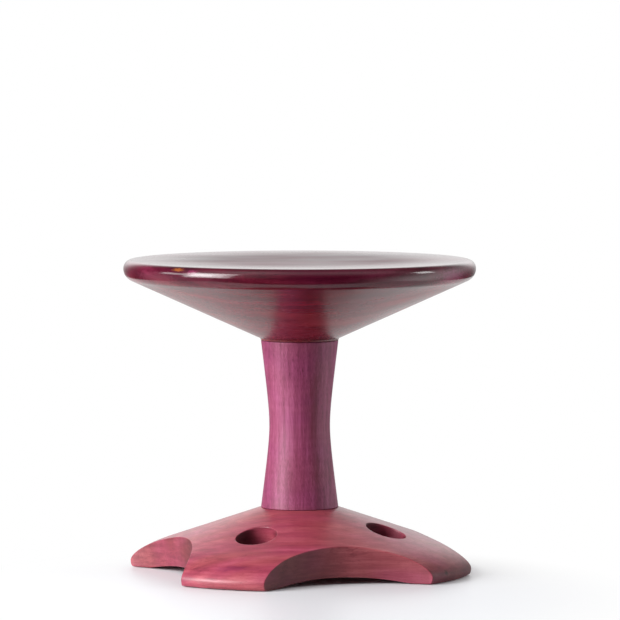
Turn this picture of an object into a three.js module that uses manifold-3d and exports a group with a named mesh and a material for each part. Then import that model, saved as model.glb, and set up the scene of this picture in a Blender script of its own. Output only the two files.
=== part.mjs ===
// A low pedestal stool in dense purple-red hardwood: a base hollowed underneath, with scallops
// sawn between its feet and a hand hole above each, a waisted pillar and a thick round seat.
// A tie rod draws the three together.
// Millimetres, +Z up, standing on z = 0 with its axis on the Z axis and its front towards -Y.
import * as THREE from 'three';
import { mergeVertices } from 'three/addons/utils/BufferGeometryUtils.js';
import Module from 'manifold-3d';

// Seat: a disc with a flat top, a soft rim and a cone underneath
const seatRadius = 200;
const seatThickness = 91.3;
const seatTopArrisWidth = 9.1;
const seatTopArrisHeight = 9.8;
const seatLowerArrisRadius = 14.4;
const seatNeckLand = 2.1;

// Pillar: a long waist that flares to the same radius at both joints
const pillarLength = 189.9;
const pillarWaistRadius = 34.5;
const pillarWaistHeight = 93.2;
const pillarEndRadius = 44.1;
const pillarWaistSoftness = 9;
const pillarArris = 0.8;
const neckOverhang = 0.5;

// Base: a cone from the neck to the shoulder, a rim that rolls over, and a hollow underneath
const baseRadius = 198;
const baseThickness = 72.7;
const baseRimWidth = 43;
const baseShoulderHeight = 35;
const baseRimRoundness = 0.57;
const baseWidestHeight = 7;
const baseLowerArrisWidth = 3.2;
const baseFootRingWidth = 20.8;
const baseHollowDepth = 18;

// Scallops, sawn straight down through the rim between the feet
const scallopMouth = 197;
const scallopDepth = 62.5;
const scallopAngle = 18.65;

// Hand holes, one above each foot, drilled square to the sloping top
const handHoleRadius = 23.4;
const handHoleDistance = 109;

// Joints: a round spigot on each end of the pillar, with two dowels that stop it turning
const spigotRadius = 25;
const spigotLength = 18;
const dowelRadius = 4;
const dowelLength = 30;
const dowelArris = 0.8;

// Tie rod from the base to a barbed insert in the seat, tightened from below
const rodRadius = 6;
const rodArris = 1;
const rodEndBelowNut = 4;
const washerWidth = 10.7;
const washerThickness = 3;
const nutAcrossFlats = 19;
const nutHeight = 10;
const nutCornerDrop = 1.1;
const counterboreDepth = 16;
const insertWall = 3.2;
const insertLength = 25;
const insertFlangeWidth = 3.5;
const insertFlangeThickness = 2;
const insertBarbCount = 5;
const insertBarbDepth = 0.9;
const insertPocketRoom = 2;
const rodShortOfInsert = 1;

// Felt glides let into the feet
const glideRadius = 7;
const glideThickness = 3;
const glideProud = 0.8;
const glideArris = 0.6;

// Clearances between pieces
const fitClearance = 0.3;
const seatingGap = 0.3;
const boreClearance = 1;
const counterboreClearance = 2;
const holeEndRoom = 0.5;

// Facets round each turned piece, and along each curve of an outline
const largeTurnSides = 80;
const pillarTurnSides = 48;
const handHoleSides = 32;
const hardwareSides = 20;
const arrisSteps = 4;
const rimSteps = 7;
const waistSteps = 12;
const hollowSteps = 4;

// How far a cutter runs past a face, and how close two vertices are when they are one
const cutterOverrun = 1;
const mergeDistance = 1e-4;

// The four feet, counted anticlockwise from above, and the two dowels of each joint
const footNames = ['front_left', 'front_right', 'back_right', 'back_left'];
const footSpacing = 360 / footNames.length;
const footAngles = footNames.map((_, i) => scallopAngle + footSpacing * (i - 1 / 2));
const scallopAngles = footNames.map((_, i) => scallopAngle + footSpacing * i);
const seatDowels = { left: -90, right: 90 };
const baseDowels = { front: 0, back: 180 };

// Heights of the joints, worked up from the floor
const footPlane = glideProud;
const baseTop = footPlane + baseThickness;
const pillarFoot = baseTop + seatingGap;
const pillarTop = pillarFoot + pillarLength;
const seatBottom = pillarTop + seatingGap;
const seatTop = seatBottom + seatThickness;

// The pillar's ends set the neck of both its neighbours, and the dowels stand midway in its shoulders.
const neckRadius = pillarEndRadius + neckOverhang;
const recessRadius = spigotRadius + fitClearance;
const recessDepth = spigotLength + holeEndRoom;
const dowelCircleRadius = (spigotRadius + pillarEndRadius) / 2;

// The rod's hardware, stacked up under the counterbore's ceiling and in the seat's pocket
const rodBoreRadius = rodRadius + boreClearance;
const threadHoleRadius = rodRadius + fitClearance;
const washerRadius = threadHoleRadius + washerWidth;
const counterboreTop = footPlane + baseHollowDepth + counterboreDepth;
const washerTop = counterboreTop - seatingGap;
const nutTop = washerTop - washerThickness - seatingGap;
const rodBottom = nutTop - nutHeight - rodEndBelowNut;
const seatRecessTop = seatBottom + recessDepth;
const insertRadius = threadHoleRadius + insertWall;
const insertFlangeRadius = insertRadius + insertFlangeWidth;
const insertTop = seatRecessTop + insertLength;
const rodTop = insertTop - rodShortOfInsert;

// The base's cone and the flat ring that its feet are cut from
const baseShoulderRadius = baseRadius - baseRimWidth;
const baseSlope = (baseThickness - baseShoulderHeight) / (baseShoulderRadius - neckRadius);
const footOuterRadius = baseRadius - baseLowerArrisWidth;
const baseHollowRadius = footOuterRadius - baseFootRingWidth;
const glideDistance = footOuterRadius - baseFootRingWidth / 2;

const wasm = await Module();
wasm.setup();

// A closed three.js geometry as a solid, with its shared vertices merged.
function toSolid(geometry) {
  const bare = geometry.toNonIndexed();
  bare.deleteAttribute('normal');
  bare.deleteAttribute('uv');
  const merged = mergeVertices(bare, mergeDistance);
  const corners = merged.index.array;
  const triangles = [];
  for (let i = 0; i < corners.length; i += 3) {
    const [a, b, c] = [corners[i], corners[i + 1], corners[i + 2]];
    if (a !== b && b !== c && c !== a) triangles.push(a, b, c);
  }
  return new wasm.Manifold(new wasm.Mesh({
    numProp: 3,
    vertProperties: new Float32Array(merged.attributes.position.array),
    triVerts: new Uint32Array(triangles),
  }));
}

// A solid as a three.js geometry again.
function toGeometry(solid) {
  const mesh = solid.getMesh();
  const geometry = new THREE.BufferGeometry();
  geometry.setAttribute('position', new THREE.BufferAttribute(new Float32Array(mesh.vertProperties), 3));
  geometry.setIndex(new THREE.BufferAttribute(new Uint32Array(mesh.triVerts), 1));
  geometry.computeVertexNormals();
  return geometry;
}

// A solid turned about the axis, from an outline of [radius, height] points that starts and ends on
// the axis and keeps the material on its left.
function turned(outline, sides) {
  const profile = outline.map(([radius, height]) => new THREE.Vector2(radius, height));
  const geometry = new THREE.LatheGeometry(profile, sides);
  geometry.rotateX(Math.PI / 2);
  return toSolid(geometry);
}

// A turned solid with a hole down its axis: its outline closes on itself.
function turnedRing(outline, sides) {
  return turned([...outline, outline[0]], sides);
}

// A round peg between two heights, with both its edges eased.
function peg(radius, bottom, top, arris, sides) {
  return turned([
    [0, bottom], [radius - arris, bottom], [radius, bottom + arris],
    [radius, top - arris], [radius - arris, top], [0, top],
  ], sides);
}

// A plain round cutter between two heights.
function cutter(radius, bottom, top, sides) {
  return turned([[0, bottom], [radius, bottom], [radius, top], [0, top]], sides);
}

// Points on an arc of an ellipse between two angles, ends included.
function arc(centre, radii, fromAngle, toAngle, steps) {
  return Array.from({ length: steps + 1 }, (_, i) => {
    const angle = fromAngle + (toAngle - fromAngle) * i / steps;
    return [centre[0] + radii[0] * Math.cos(angle), centre[1] + radii[1] * Math.sin(angle)];
  });
}

// A solid moved out from the axis, to an angle counted anticlockwise from the front.
function placed(solid, distance, degrees) {
  const angle = THREE.MathUtils.degToRad(degrees);
  return solid.translate([distance * Math.sin(angle), -distance * Math.cos(angle), 0]);
}

// A solid with the same upright hole cut at each angle.
function cutRoundHoles(solid, hole, distance, angles) {
  return angles.reduce((rest, degrees) => rest.subtract(placed(hole, distance, degrees)), solid);
}

// The dowel holes of a joint: the same holes run into both of its pieces.
function cutDowelHoles(solid, jointHeight, dowels) {
  const reach = dowelLength / 2 + holeEndRoom;
  const hole = cutter(dowelRadius + fitClearance, jointHeight - reach, jointHeight + reach, hardwareSides);
  return cutRoundHoles(solid, hole, dowelCircleRadius, Object.values(dowels));
}

// The pocket under the seat, from the insert's end down to the face that rests on the pillar.
function seatPocket() {
  const pocketTop = insertTop + insertPocketRoom;
  const flangeSeatTop = seatRecessTop + insertFlangeThickness + seatingGap;
  return [
    [0, pocketTop], [insertRadius + fitClearance, pocketTop],
    [insertRadius + fitClearance, flangeSeatTop], [insertFlangeRadius + fitClearance, flangeSeatTop],
    [insertFlangeRadius + fitClearance, seatRecessTop], [recessRadius, seatRecessTop],
    [recessRadius, seatBottom],
  ];
}

// The seat: up its neck, out along a cone that runs into the lower arris, and over to the flat top.
function makeSeat() {
  const widest = seatTop - seatTopArrisHeight;
  const neckTop = seatBottom + seatNeckLand;
  const across = seatRadius - seatLowerArrisRadius - neckRadius;
  const up = widest - neckTop;
  const coneAngle = Math.atan2(up, across) - Math.asin(seatLowerArrisRadius / Math.hypot(up, across));
  const lowerArris = arc(
    [seatRadius - seatLowerArrisRadius, widest], [seatLowerArrisRadius, seatLowerArrisRadius],
    coneAngle - Math.PI / 2, 0, arrisSteps);
  const topArris = arc(
    [seatRadius - seatTopArrisWidth, widest], [seatTopArrisWidth, seatTopArrisHeight],
    0, Math.PI / 2, arrisSteps);
  const outline = [
    ...seatPocket(), [neckRadius, seatBottom], [neckRadius, neckTop],
    ...lowerArris, ...topArris.slice(1), [0, seatTop],
  ];
  return cutDowelHoles(turned(outline, largeTurnSides), pillarTop, seatDowels);
}

// The pillar's radius at a height above its foot: a soft waist between two straight tapers, each of
// which reaches the end radius at its own joint.
function pillarRadius(height) {
  const reach = height < pillarWaistHeight ? pillarWaistHeight : pillarLength - pillarWaistHeight;
  const rise = (distance) => Math.hypot(distance, pillarWaistSoftness) - pillarWaistSoftness;
  const share = rise(height - pillarWaistHeight) / rise(reach);
  return pillarWaistRadius + (pillarEndRadius - pillarWaistRadius) * share;
}

function makePillar() {
  const side = Array.from({ length: waistSteps + 1 }, (_, i) => {
    const height = pillarArris + (pillarLength - 2 * pillarArris) * i / waistSteps;
    return [pillarRadius(height), pillarFoot + height];
  });
  const outline = [
    [rodBoreRadius, pillarFoot - spigotLength], [spigotRadius, pillarFoot - spigotLength],
    [spigotRadius, pillarFoot], [pillarEndRadius - pillarArris, pillarFoot],
    ...side,
    [pillarEndRadius - pillarArris, pillarTop], [spigotRadius, pillarTop],
    [spigotRadius, pillarTop + spigotLength], [rodBoreRadius, pillarTop + spigotLength],
  ];
  const blank = turnedRing(outline, pillarTurnSides);
  return cutDowelHoles(cutDowelHoles(blank, pillarTop, seatDowels), pillarFoot, baseDowels);
}

// The base's rim: a curve that leaves the cone along its slope and is upright at the widest point.
function rimCurve() {
  const shoulder = new THREE.Vector2(baseShoulderRadius, footPlane + baseShoulderHeight);
  const widest = new THREE.Vector2(baseRadius, footPlane + baseWidestHeight);
  const corner = new THREE.Vector2(baseRadius, shoulder.y - baseSlope * baseRimWidth);
  const curve = new THREE.CubicBezierCurve(
    widest, widest.clone().lerp(corner, baseRimRoundness),
    shoulder.clone().lerp(corner, baseRimRoundness), shoulder);
  return curve.getPoints(rimSteps).map((point) => [point.x, point.y]);
}

// The hollow underneath: part of a sphere, from the counterbore out to the flat of the feet.
function hollowCurve(counterboreRadius) {
  const sphereRadius = (baseHollowRadius ** 2 + baseHollowDepth ** 2) / (2 * baseHollowDepth);
  const centreHeight = footPlane + baseHollowDepth - sphereRadius;
  return Array.from({ length: hollowSteps + 1 }, (_, i) => {
    const radius = counterboreRadius + (baseHollowRadius - counterboreRadius) * i / hollowSteps;
    return [radius, centreHeight + Math.sqrt(sphereRadius ** 2 - radius ** 2)];
  });
}

// The base before it is sawn: its outline runs out under the feet, up over the rim and back in.
function turnBase() {
  const counterboreRadius = washerRadius + counterboreClearance;
  const recessFloor = baseTop - recessDepth;
  const lowerArris = arc(
    [footOuterRadius, footPlane + baseWidestHeight], [baseLowerArrisWidth, baseWidestHeight],
    -Math.PI / 2, 0, arrisSteps);
  return turnedRing([
    [rodBoreRadius, counterboreTop], [counterboreRadius, counterboreTop],
    ...hollowCurve(counterboreRadius),
    ...lowerArris, ...rimCurve().slice(1),
    [neckRadius, baseTop], [recessRadius, baseTop],
    [recessRadius, recessFloor], [rodBoreRadius, recessFloor],
  ], largeTurnSides);
}

// Each scallop is part of a round cut that passes through both ends of its mouth on the rim.
function cutScallops(solid) {
  const halfMouth = scallopMouth / 2;
  const chordDistance = Math.sqrt(baseRadius ** 2 - halfMouth ** 2);
  const sagitta = chordDistance - (baseRadius - scallopDepth);
  const radius = (halfMouth ** 2 + sagitta ** 2) / (2 * sagitta);
  const hole = cutter(radius, footPlane - cutterOverrun, baseTop + cutterOverrun, largeTurnSides);
  return cutRoundHoles(solid, hole, baseRadius - scallopDepth + radius, scallopAngles);
}

// Each hand hole leans outwards, so that it leaves the sloping top at right angles.
function cutHandHoles(solid) {
  const mouthHeight = baseTop - baseSlope * (handHoleDistance - neckRadius);
  const leanDegrees = THREE.MathUtils.radToDeg(Math.atan(baseSlope));
  const hole = cutter(handHoleRadius, -baseThickness, baseThickness, handHoleSides)
    .rotate([leanDegrees, 0, 0])
    .translate([0, -handHoleDistance, mouthHeight]);
  return footAngles.reduce((rest, degrees) => rest.subtract(hole.rotate([0, 0, degrees])), solid);
}

// Shallow round seats for the glides, midway in the flat of each foot.
function cutGlideSeats(solid) {
  const seat = cutter(
    glideRadius + fitClearance, footPlane - cutterOverrun, glideThickness + seatingGap, hardwareSides);
  return cutRoundHoles(solid, seat, glideDistance, footAngles);
}

function makeBase() {
  const sawn = cutGlideSeats(cutHandHoles(cutScallops(turnBase())));
  return cutDowelHoles(sawn, pillarFoot, baseDowels);
}

// A flanged bush with saw-tooth barbs that hold it up in the seat.
function makeInsert() {
  const barbStart = seatRecessTop + insertFlangeThickness;
  const pitch = (insertLength - insertFlangeThickness) / insertBarbCount;
  const barbs = Array.from({ length: insertBarbCount }, (_, i) => [
    [insertRadius, barbStart + pitch * i],
    [insertRadius - insertBarbDepth, barbStart + pitch * (i + 1)],
  ]);
  return turnedRing([
    [threadHoleRadius, seatRecessTop], [insertFlangeRadius, seatRecessTop],
    [insertFlangeRadius, barbStart], ...barbs.flat(), [threadHoleRadius, insertTop],
  ], hardwareSides);
}

function makeWasher() {
  return turnedRing([
    [threadHoleRadius, washerTop - washerThickness], [washerRadius, washerTop - washerThickness],
    [washerRadius, washerTop], [threadHoleRadius, washerTop],
  ], hardwareSides * 2);
}

// A hexagon with the points of both its faces turned off.
function makeNut() {
  const cornerRadius = nutAcrossFlats / Math.sqrt(3);
  const flatRadius = nutAcrossFlats / 2;
  const bottom = nutTop - nutHeight;
  const hexagon = cutter(cornerRadius, bottom, nutTop, 6);
  const turnedOff = turned([
    [0, bottom], [flatRadius, bottom], [cornerRadius, bottom + nutCornerDrop],
    [cornerRadius, nutTop - nutCornerDrop], [flatRadius, nutTop], [0, nutTop],
  ], hardwareSides * 2);
  const hole = cutter(threadHoleRadius, bottom - cutterOverrun, nutTop + cutterOverrun, hardwareSides);
  return hexagon.intersect(turnedOff).subtract(hole);
}

function makeDowel(jointHeight, degrees) {
  const reach = dowelLength / 2;
  const dowel = peg(dowelRadius, jointHeight - reach, jointHeight + reach, dowelArris, hardwareSides);
  return placed(dowel, dowelCircleRadius, degrees);
}

const finishes = {
  seatWood: { color: 0x6e2a3c, roughness: 0.25, metalness: 0 },
  pillarWood: { color: 0x94415f, roughness: 0.45, metalness: 0 },
  baseWood: { color: 0xa84a5e, roughness: 0.45, metalness: 0 },
  dowelWood: { color: 0xd9b98a, roughness: 0.7, metalness: 0 },
  steel: { color: 0xb4b6b8, roughness: 0.35, metalness: 1 },
  brass: { color: 0xc9a24a, roughness: 0.35, metalness: 1 },
  felt: { color: 0x4b3b35, roughness: 1, metalness: 0 },
};

const stool = new THREE.Group();

function addPiece(name, solid, finish) {
  const piece = new THREE.Mesh(toGeometry(solid), new THREE.MeshStandardMaterial(finish));
  piece.name = name;
  stool.add(piece);
}

addPiece('seat', makeSeat(), finishes.seatWood);
addPiece('pillar', makePillar(), finishes.pillarWood);
addPiece('base', makeBase(), finishes.baseWood);
addPiece('tie_rod', peg(rodRadius, rodBottom, rodTop, rodArris, hardwareSides), finishes.steel);
addPiece('seat_insert', makeInsert(), finishes.brass);
addPiece('rod_washer', makeWasher(), finishes.steel);
addPiece('rod_nut', makeNut(), finishes.steel);
for (const [side, degrees] of Object.entries(seatDowels)) {
  addPiece(`seat_dowel_${side}`, makeDowel(pillarTop, degrees), finishes.dowelWood);
}
for (const [side, degrees] of Object.entries(baseDowels)) {
  addPiece(`base_dowel_${side}`, makeDowel(pillarFoot, degrees), finishes.dowelWood);
}
footNames.forEach((foot, i) => {
  const glide = peg(glideRadius, 0, glideThickness, glideArris, hardwareSides);
  addPiece(`glide_${foot}`, placed(glide, glideDistance, footAngles[i]), finishes.felt);
});

export default stool;
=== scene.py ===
"""A low pedestal stool in purple-red hardwood: its fine surfaces, its finishes and a white studio.

The seat, the pillar, the base and the hardware between them are worked out again as fine surfaces,
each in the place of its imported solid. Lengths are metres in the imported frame, +Z up, with the axis
on Z, the floor at z = 0 and the front towards -Y. An angle round the axis is counted anticlockwise
from above and starts at the front, so a point is (r sin a, -r cos a, z).
"""

import logging
import math
from collections.abc import Callable, Sequence
from dataclasses import dataclass
from enum import Enum

import bmesh
import bpy
import numpy as np
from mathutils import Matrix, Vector


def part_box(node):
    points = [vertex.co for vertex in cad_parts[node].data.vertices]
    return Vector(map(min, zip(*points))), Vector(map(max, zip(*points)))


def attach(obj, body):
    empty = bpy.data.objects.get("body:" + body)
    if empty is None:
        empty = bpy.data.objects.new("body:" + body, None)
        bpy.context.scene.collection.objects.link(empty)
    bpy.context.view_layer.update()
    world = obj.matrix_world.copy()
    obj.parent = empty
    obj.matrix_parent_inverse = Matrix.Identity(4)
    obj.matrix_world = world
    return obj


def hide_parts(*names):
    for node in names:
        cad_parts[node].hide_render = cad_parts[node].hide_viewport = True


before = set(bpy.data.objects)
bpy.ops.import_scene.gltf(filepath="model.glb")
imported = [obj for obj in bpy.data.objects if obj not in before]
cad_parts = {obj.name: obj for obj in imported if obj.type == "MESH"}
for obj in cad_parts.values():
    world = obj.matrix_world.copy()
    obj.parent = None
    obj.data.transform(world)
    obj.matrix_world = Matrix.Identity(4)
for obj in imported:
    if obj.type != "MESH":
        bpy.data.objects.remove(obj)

LOG = logging.getLogger("stool")
MM = 0.001
BODY = "root"
SMOOTH_BELOW = math.radians(40.0)
WELD_DISTANCE = 1e-6

WHITE = (1.0, 1.0, 1.0, 1.0)
PURPLER = (1.0, 0.85, 1.12, 1.0)
REDDER = (1.0, 1.15, 0.88, 1.0)
# The darker colour of end grain, which also paints shade on the base's sawn walls inside the rim.
END_GRAIN_AND_WALL_SHADE = (0.32, 0.3, 0.3, 1.0)
LACQUER_TINT = (0.46, 0.5, 0.86, 1.0)

Colour = tuple[float, float, float]
Height = Callable[[np.ndarray], np.ndarray]
Inputs = dict[str | int, object]

FINER_AT_MOUTH = 1.7
ROOM_ROUND_HOLE = 1.18


def reach(node: str) -> float:
    """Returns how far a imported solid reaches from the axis, at its widest."""
    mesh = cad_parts[node].data
    points = np.empty(len(mesh.vertices) * 3, np.float32)
    mesh.vertices.foreach_get("co", points)
    return float(np.hypot(points[0::3], points[1::3]).max())


def low(node: str) -> float:
    """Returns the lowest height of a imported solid."""
    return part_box(node)[0].z


def high(node: str) -> float:
    """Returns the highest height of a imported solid."""
    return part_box(node)[1].z


def eased(steps: int, power: float = 1.8) -> np.ndarray:
    """Gives shares from 0 to 1 that crowd towards both ends: u^p / (u^p + (1 - u)^p).

    Args:
        steps: how many steps lie between 0 and 1.
        power: p, which is 1 for even steps.

    Returns:
        steps + 1 shares.
    """
    u = np.linspace(0.0, 1.0, steps + 1)
    return u**power / (u**power + (1.0 - u) ** power)


def mixed(start: np.ndarray | float, end: np.ndarray | float, share: np.ndarray | float) -> np.ndarray:
    """Returns start + (end - start) x share."""
    return np.asarray(start) + (np.asarray(end) - np.asarray(start)) * share


def polar(radius: np.ndarray, angle: np.ndarray, height: np.ndarray) -> np.ndarray:
    """Returns (r sin a, -r cos a, z) for arrays that broadcast together."""
    x = radius * np.sin(angle)
    y = -radius * np.cos(angle)
    return np.stack(np.broadcast_arrays(x, y, height), axis=-1)


def hinge(x: np.ndarray, softness: float) -> np.ndarray:
    """Returns max(x, 0), with its corner eased from -s to s by (x + s)^2 / 4 s."""
    return np.where(np.abs(x) < softness, (x + softness) ** 2 / (4 * softness), np.maximum(x, 0.0))


def arc(centre: Sequence[float], radii: Sequence[float], start: float, end: float, steps: int) -> np.ndarray:
    """Gives points on part of an ellipse: centre + (a cos t, b sin t).

    Args:
        centre: its radius and height.
        radii: a and b.
        start: the first t, in radians.
        end: the last t.
        steps: how many steps lie between them.

    Returns:
        steps + 1 points as radius and height.
    """
    t = np.linspace(start, end, steps + 1)
    return np.column_stack([centre[0] + radii[0] * np.cos(t), centre[1] + radii[1] * np.sin(t)])


def eased_corner(
    before: np.ndarray, corner: np.ndarray, after: np.ndarray, radius: float, steps: int
) -> np.ndarray:
    """Rounds one corner of an outline with a curve that leaves and meets both sides along them.

    The curve is the quadratic Bezier (1 - t)^2 a + 2 t (1 - t) corner + t^2 b, where a and b lie on
    the two sides at the given radius from the corner.

    Args:
        before: the outline's point before the corner.
        corner: the corner.
        after: the point after it.
        radius: how far from the corner the curve starts and ends.
        steps: how many steps the curve has.

    Returns:
        steps + 1 points as radius and height.
    """
    a = corner + (before - corner) * radius / np.linalg.norm(before - corner)
    b = corner + (after - corner) * radius / np.linalg.norm(after - corner)
    t = np.linspace(0.0, 1.0, steps + 1)[:, None]
    return (1 - t) ** 2 * a + 2 * t * (1 - t) * corner + t**2 * b


def outline(
    corners: Sequence[tuple[float, float, float]], longest: float = 6 * MM, steps: int = 5
) -> np.ndarray:
    """Gives an outline whose corners are eased and whose long sides are parted.

    Args:
        corners: the radius, the height and the easing of each corner. The ends have none.
        longest: the longest step along a side.
        steps: how many steps an eased corner has.

    Returns:
        The outline's points as radius and height.
    """
    places = np.array([corner[:2] for corner in corners], float)
    stretches = [places[:1]]
    for i in range(1, len(corners) - 1):
        easing = corners[i][2]
        stretch = places[i:i + 1]
        if easing:
            stretch = eased_corner(places[i - 1], places[i], places[i + 1], easing, steps)
        stretches.append(stretch)
    stretches.append(places[-1:])
    parted = [stretches[0]]
    for before, after in zip(stretches, stretches[1:]):
        count = max(1, math.ceil(float(np.linalg.norm(after[0] - before[-1])) / longest) + 1)
        parted.append(mixed(before[-1], after[0], eased(count)[1:-1, None]))
        parted.append(after)
    return np.concatenate(parted)


def turned(profile: np.ndarray, angles: np.ndarray) -> np.ndarray:
    """Returns the grid of a profile of radius and height, carried round the axis to each angle."""
    return polar(profile[:, :1], angles[None, :], profile[:, 1:])


def evenly_round(count: int, start: float = 0.0) -> np.ndarray:
    """Returns count even angles round the axis from start, the last short of a full turn."""
    return start + np.arange(count) * math.tau / count


@dataclass(frozen=True)
class Window:
    """A block of a grid's faces that is left out, so that a hole can be fitted in its place."""

    first_row: int
    last_row: int
    first_column: int
    last_column: int

    @classmethod
    def about(cls, grid: np.ndarray, centre: np.ndarray, half: tuple[float, float]) -> "Window":
        """Finds the smallest block of a ring-shaped grid that clears a place by the given amounts.

        Args:
            grid: rows x columns x 3, with its rows running outwards and its columns round the axis.
            centre: the middle of the hole.
            half: the room that it needs along the radius, and round the axis.

        Returns:
            The block.
        """
        rows, columns = grid.shape[:2]
        outward = centre[:2] / np.linalg.norm(centre[:2])
        middle_row = grid[rows // 2, :, :2]
        bearing = middle_row / np.linalg.norm(middle_row, axis=1, keepdims=True)
        column = int(np.argmin(np.linalg.norm(bearing - outward, axis=1)))
        along = grid[:, column, :2] @ outward - centre[:2] @ outward
        first_row = int(np.nonzero(along < -half[0])[0].max(initial=0))
        last_row = int(np.nonzero(along > half[0])[0].min(initial=rows - 1))
        middle = int(np.argmin(np.abs(along)))
        aside = np.array([-outward[1], outward[0]])
        near = np.arange(-columns // 4, columns // 4)
        across = grid[middle, (column + near) % columns, :2] @ aside
        clear = near[np.abs(across) > half[1]]
        before = int(clear[clear < 0].max())
        after = int(clear[clear > 0].min())
        return cls(first_row, last_row, column + before, column + after)

    def rim(self, grid: np.ndarray) -> np.ndarray:
        """Returns the grid's points round the block, in order."""
        across = np.arange(self.first_column, self.last_column + 1) % grid.shape[1]
        down = np.arange(self.first_row, self.last_row + 1)
        return np.concatenate([
            grid[self.first_row, across[:-1]],
            grid[down[:-1], across[-1]],
            grid[self.last_row, across[:0:-1]],
            grid[down[:0:-1], across[0]],
        ])

    def clear(self, keep: np.ndarray) -> None:
        """Marks the block's faces as left out."""
        across = np.arange(self.first_column, self.last_column) % keep.shape[1]
        keep[self.first_row:self.last_row, across] = False


class Shell:
    """A closed surface that is gathered as grids of points and made one mesh at the end."""

    def __init__(self) -> None:
        """Starts with no points and no faces."""
        self.points: list[np.ndarray] = []
        self.faces: list[np.ndarray] = []
        self.total = 0

    def add(self, grid: np.ndarray, keep: np.ndarray | None = None) -> None:
        """Adds a grid whose last column joins its first.

        Args:
            grid: rows x columns x 3. A row that is one point closes the surface there.
            keep: rows - 1 x columns, False where a face is left out.
        """
        rows, columns = grid.shape[:2]
        index = self.total + np.arange(rows * columns).reshape(rows, columns)
        beside = np.roll(index, -1, axis=1)
        faces = np.stack([index[:-1], beside[:-1], beside[1:], index[1:]], axis=-1)
        self.faces.append(faces[keep] if keep is not None else faces.reshape(-1, 4))
        self.points.append(grid.reshape(-1, 3))
        self.total += rows * columns

    def piece(self, name: str, settle: Callable[[np.ndarray], np.ndarray] | None = None) -> bpy.types.Object:
        """Makes the mesh, with its seams and poles closed and its faces pointing out.

        Args:
            name: the piece's name.
            settle: moves the gathered points, as an array, before they are joined.

        Returns:
            The new object, which is in the scene.
        """
        points = np.concatenate(self.points)
        faces = np.concatenate(self.faces)
        if settle is not None:
            points = settle(points)
        mesh = bpy.data.meshes.new(name)
        mesh.vertices.add(len(points))
        mesh.vertices.foreach_set("co", points.astype(np.float32).ravel())
        mesh.loops.add(faces.size)
        mesh.loops.foreach_set("vertex_index", faces.astype(np.int32).ravel())
        mesh.polygons.add(len(faces))
        mesh.polygons.foreach_set("loop_start", np.arange(0, faces.size, 4, dtype=np.int32))
        mesh.update(calc_edges=True)
        joined = bmesh.new()
        joined.from_mesh(mesh)
        bmesh.ops.remove_doubles(joined, verts=joined.verts[:], dist=WELD_DISTANCE)
        loose = [vertex for vertex in joined.verts if not vertex.link_faces]
        bmesh.ops.delete(joined, geom=loose, context="VERTS")
        bmesh.ops.recalc_face_normals(joined, faces=joined.faces[:])
        gaps = sum(1 for edge in joined.edges if len(edge.link_faces) != 2)
        joined.to_mesh(mesh)
        joined.free()
        mesh.shade_smooth()
        mesh.set_sharp_from_angle(angle=SMOOTH_BELOW)
        made = bpy.data.objects.new(name, mesh)
        bpy.context.scene.collection.objects.link(made)
        LOG.info("%s: %d faces, %d open edges", name, len(mesh.polygons), gaps)
        return made


def fit_hole(shell: Shell, rim: np.ndarray, mouth: np.ndarray, height: Height, steps: int) -> None:
    """Fills the surface between a block's rim and the mouth of the hole in it.

    Each point lies on the straight line, seen from above, from the mouth to the rim, and at the
    height of the surface there. The steps are short near the mouth.

    Args:
        shell: what the surface is added to.
        rim: the points round the block.
        mouth: as many points round the mouth, each on the bearing of its rim point.
        height: gives the surface's height from an array of radii.
        steps: how many steps lie between mouth and rim.
    """
    share = (np.linspace(0.0, 1.0, steps + 1) ** FINER_AT_MOUTH)[:, None, None]
    flat = mixed(mouth[None, :, :2], rim[None, :, :2], share)
    heights = height(np.hypot(flat[..., 0], flat[..., 1]))
    shell.add(np.concatenate([flat, heights[..., None]], axis=-1))


def bearings(rim: np.ndarray, centre: np.ndarray, outward: np.ndarray) -> np.ndarray:
    """Returns the angle of each rim point about a hole's middle, from the outward direction."""
    offset = rim[:, :2] - centre[:2]
    aside = np.array([-outward[1], outward[0]])
    return np.arctan2(offset @ aside, offset @ outward)


@dataclass(frozen=True)
class BlindHole:
    """A round hole, parallel to the axis, that stops at a flat end."""

    radius: float
    mouth: float
    end: float

    def flat(self, radius: np.ndarray) -> np.ndarray:
        """Returns the height of a level face at the mouth, whatever the radius."""
        return np.full_like(radius, self.mouth)

    def drill(
        self,
        shell: Shell,
        grid: np.ndarray,
        keep: np.ndarray,
        centre: np.ndarray,
        height: Height | None = None,
        steps: tuple[int, int, int] = (3, 6, 3),
    ) -> None:
        """Fits the hole into a ring of a grid that is flat where the hole is.

        Args:
            shell: what the hole's surface is added to.
            grid: the ring, with its rows running outwards.
            keep: the ring's faces, where the block round the hole is marked as left out.
            centre: the hole's middle.
            height: gives the ring's height from an array of radii, or None where it is all flat.
            steps: how many steps the face round the hole, its side and its flat end have.
        """
        room = self.radius * ROOM_ROUND_HOLE
        window = Window.about(grid, centre, (room, room))
        window.clear(keep)
        rim = window.rim(grid)
        outward = centre[:2] / np.linalg.norm(centre[:2])
        angle = bearings(rim, centre, outward)
        aside = np.array([-outward[1], outward[0]])
        circle = np.cos(angle)[:, None] * outward + np.sin(angle)[:, None] * aside
        mouth = np.column_stack([centre[:2] + self.radius * circle, np.full(len(rim), self.mouth)])
        fit_hole(shell, rim, mouth, height or self.flat, steps[0])
        side = np.repeat(mouth[None], steps[1] + 1, axis=0)
        side[..., 2] = mixed(self.mouth, self.end, eased(steps[1]))[:, None]
        shell.add(side)
        inwards = np.linspace(0.0, 1.0, steps[2] + 1)[:, None, None]
        floor = np.repeat(side[-1:], steps[2] + 1, axis=0)
        floor[..., :2] = mixed(floor[..., :2], centre[:2], inwards)
        shell.add(floor)


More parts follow.
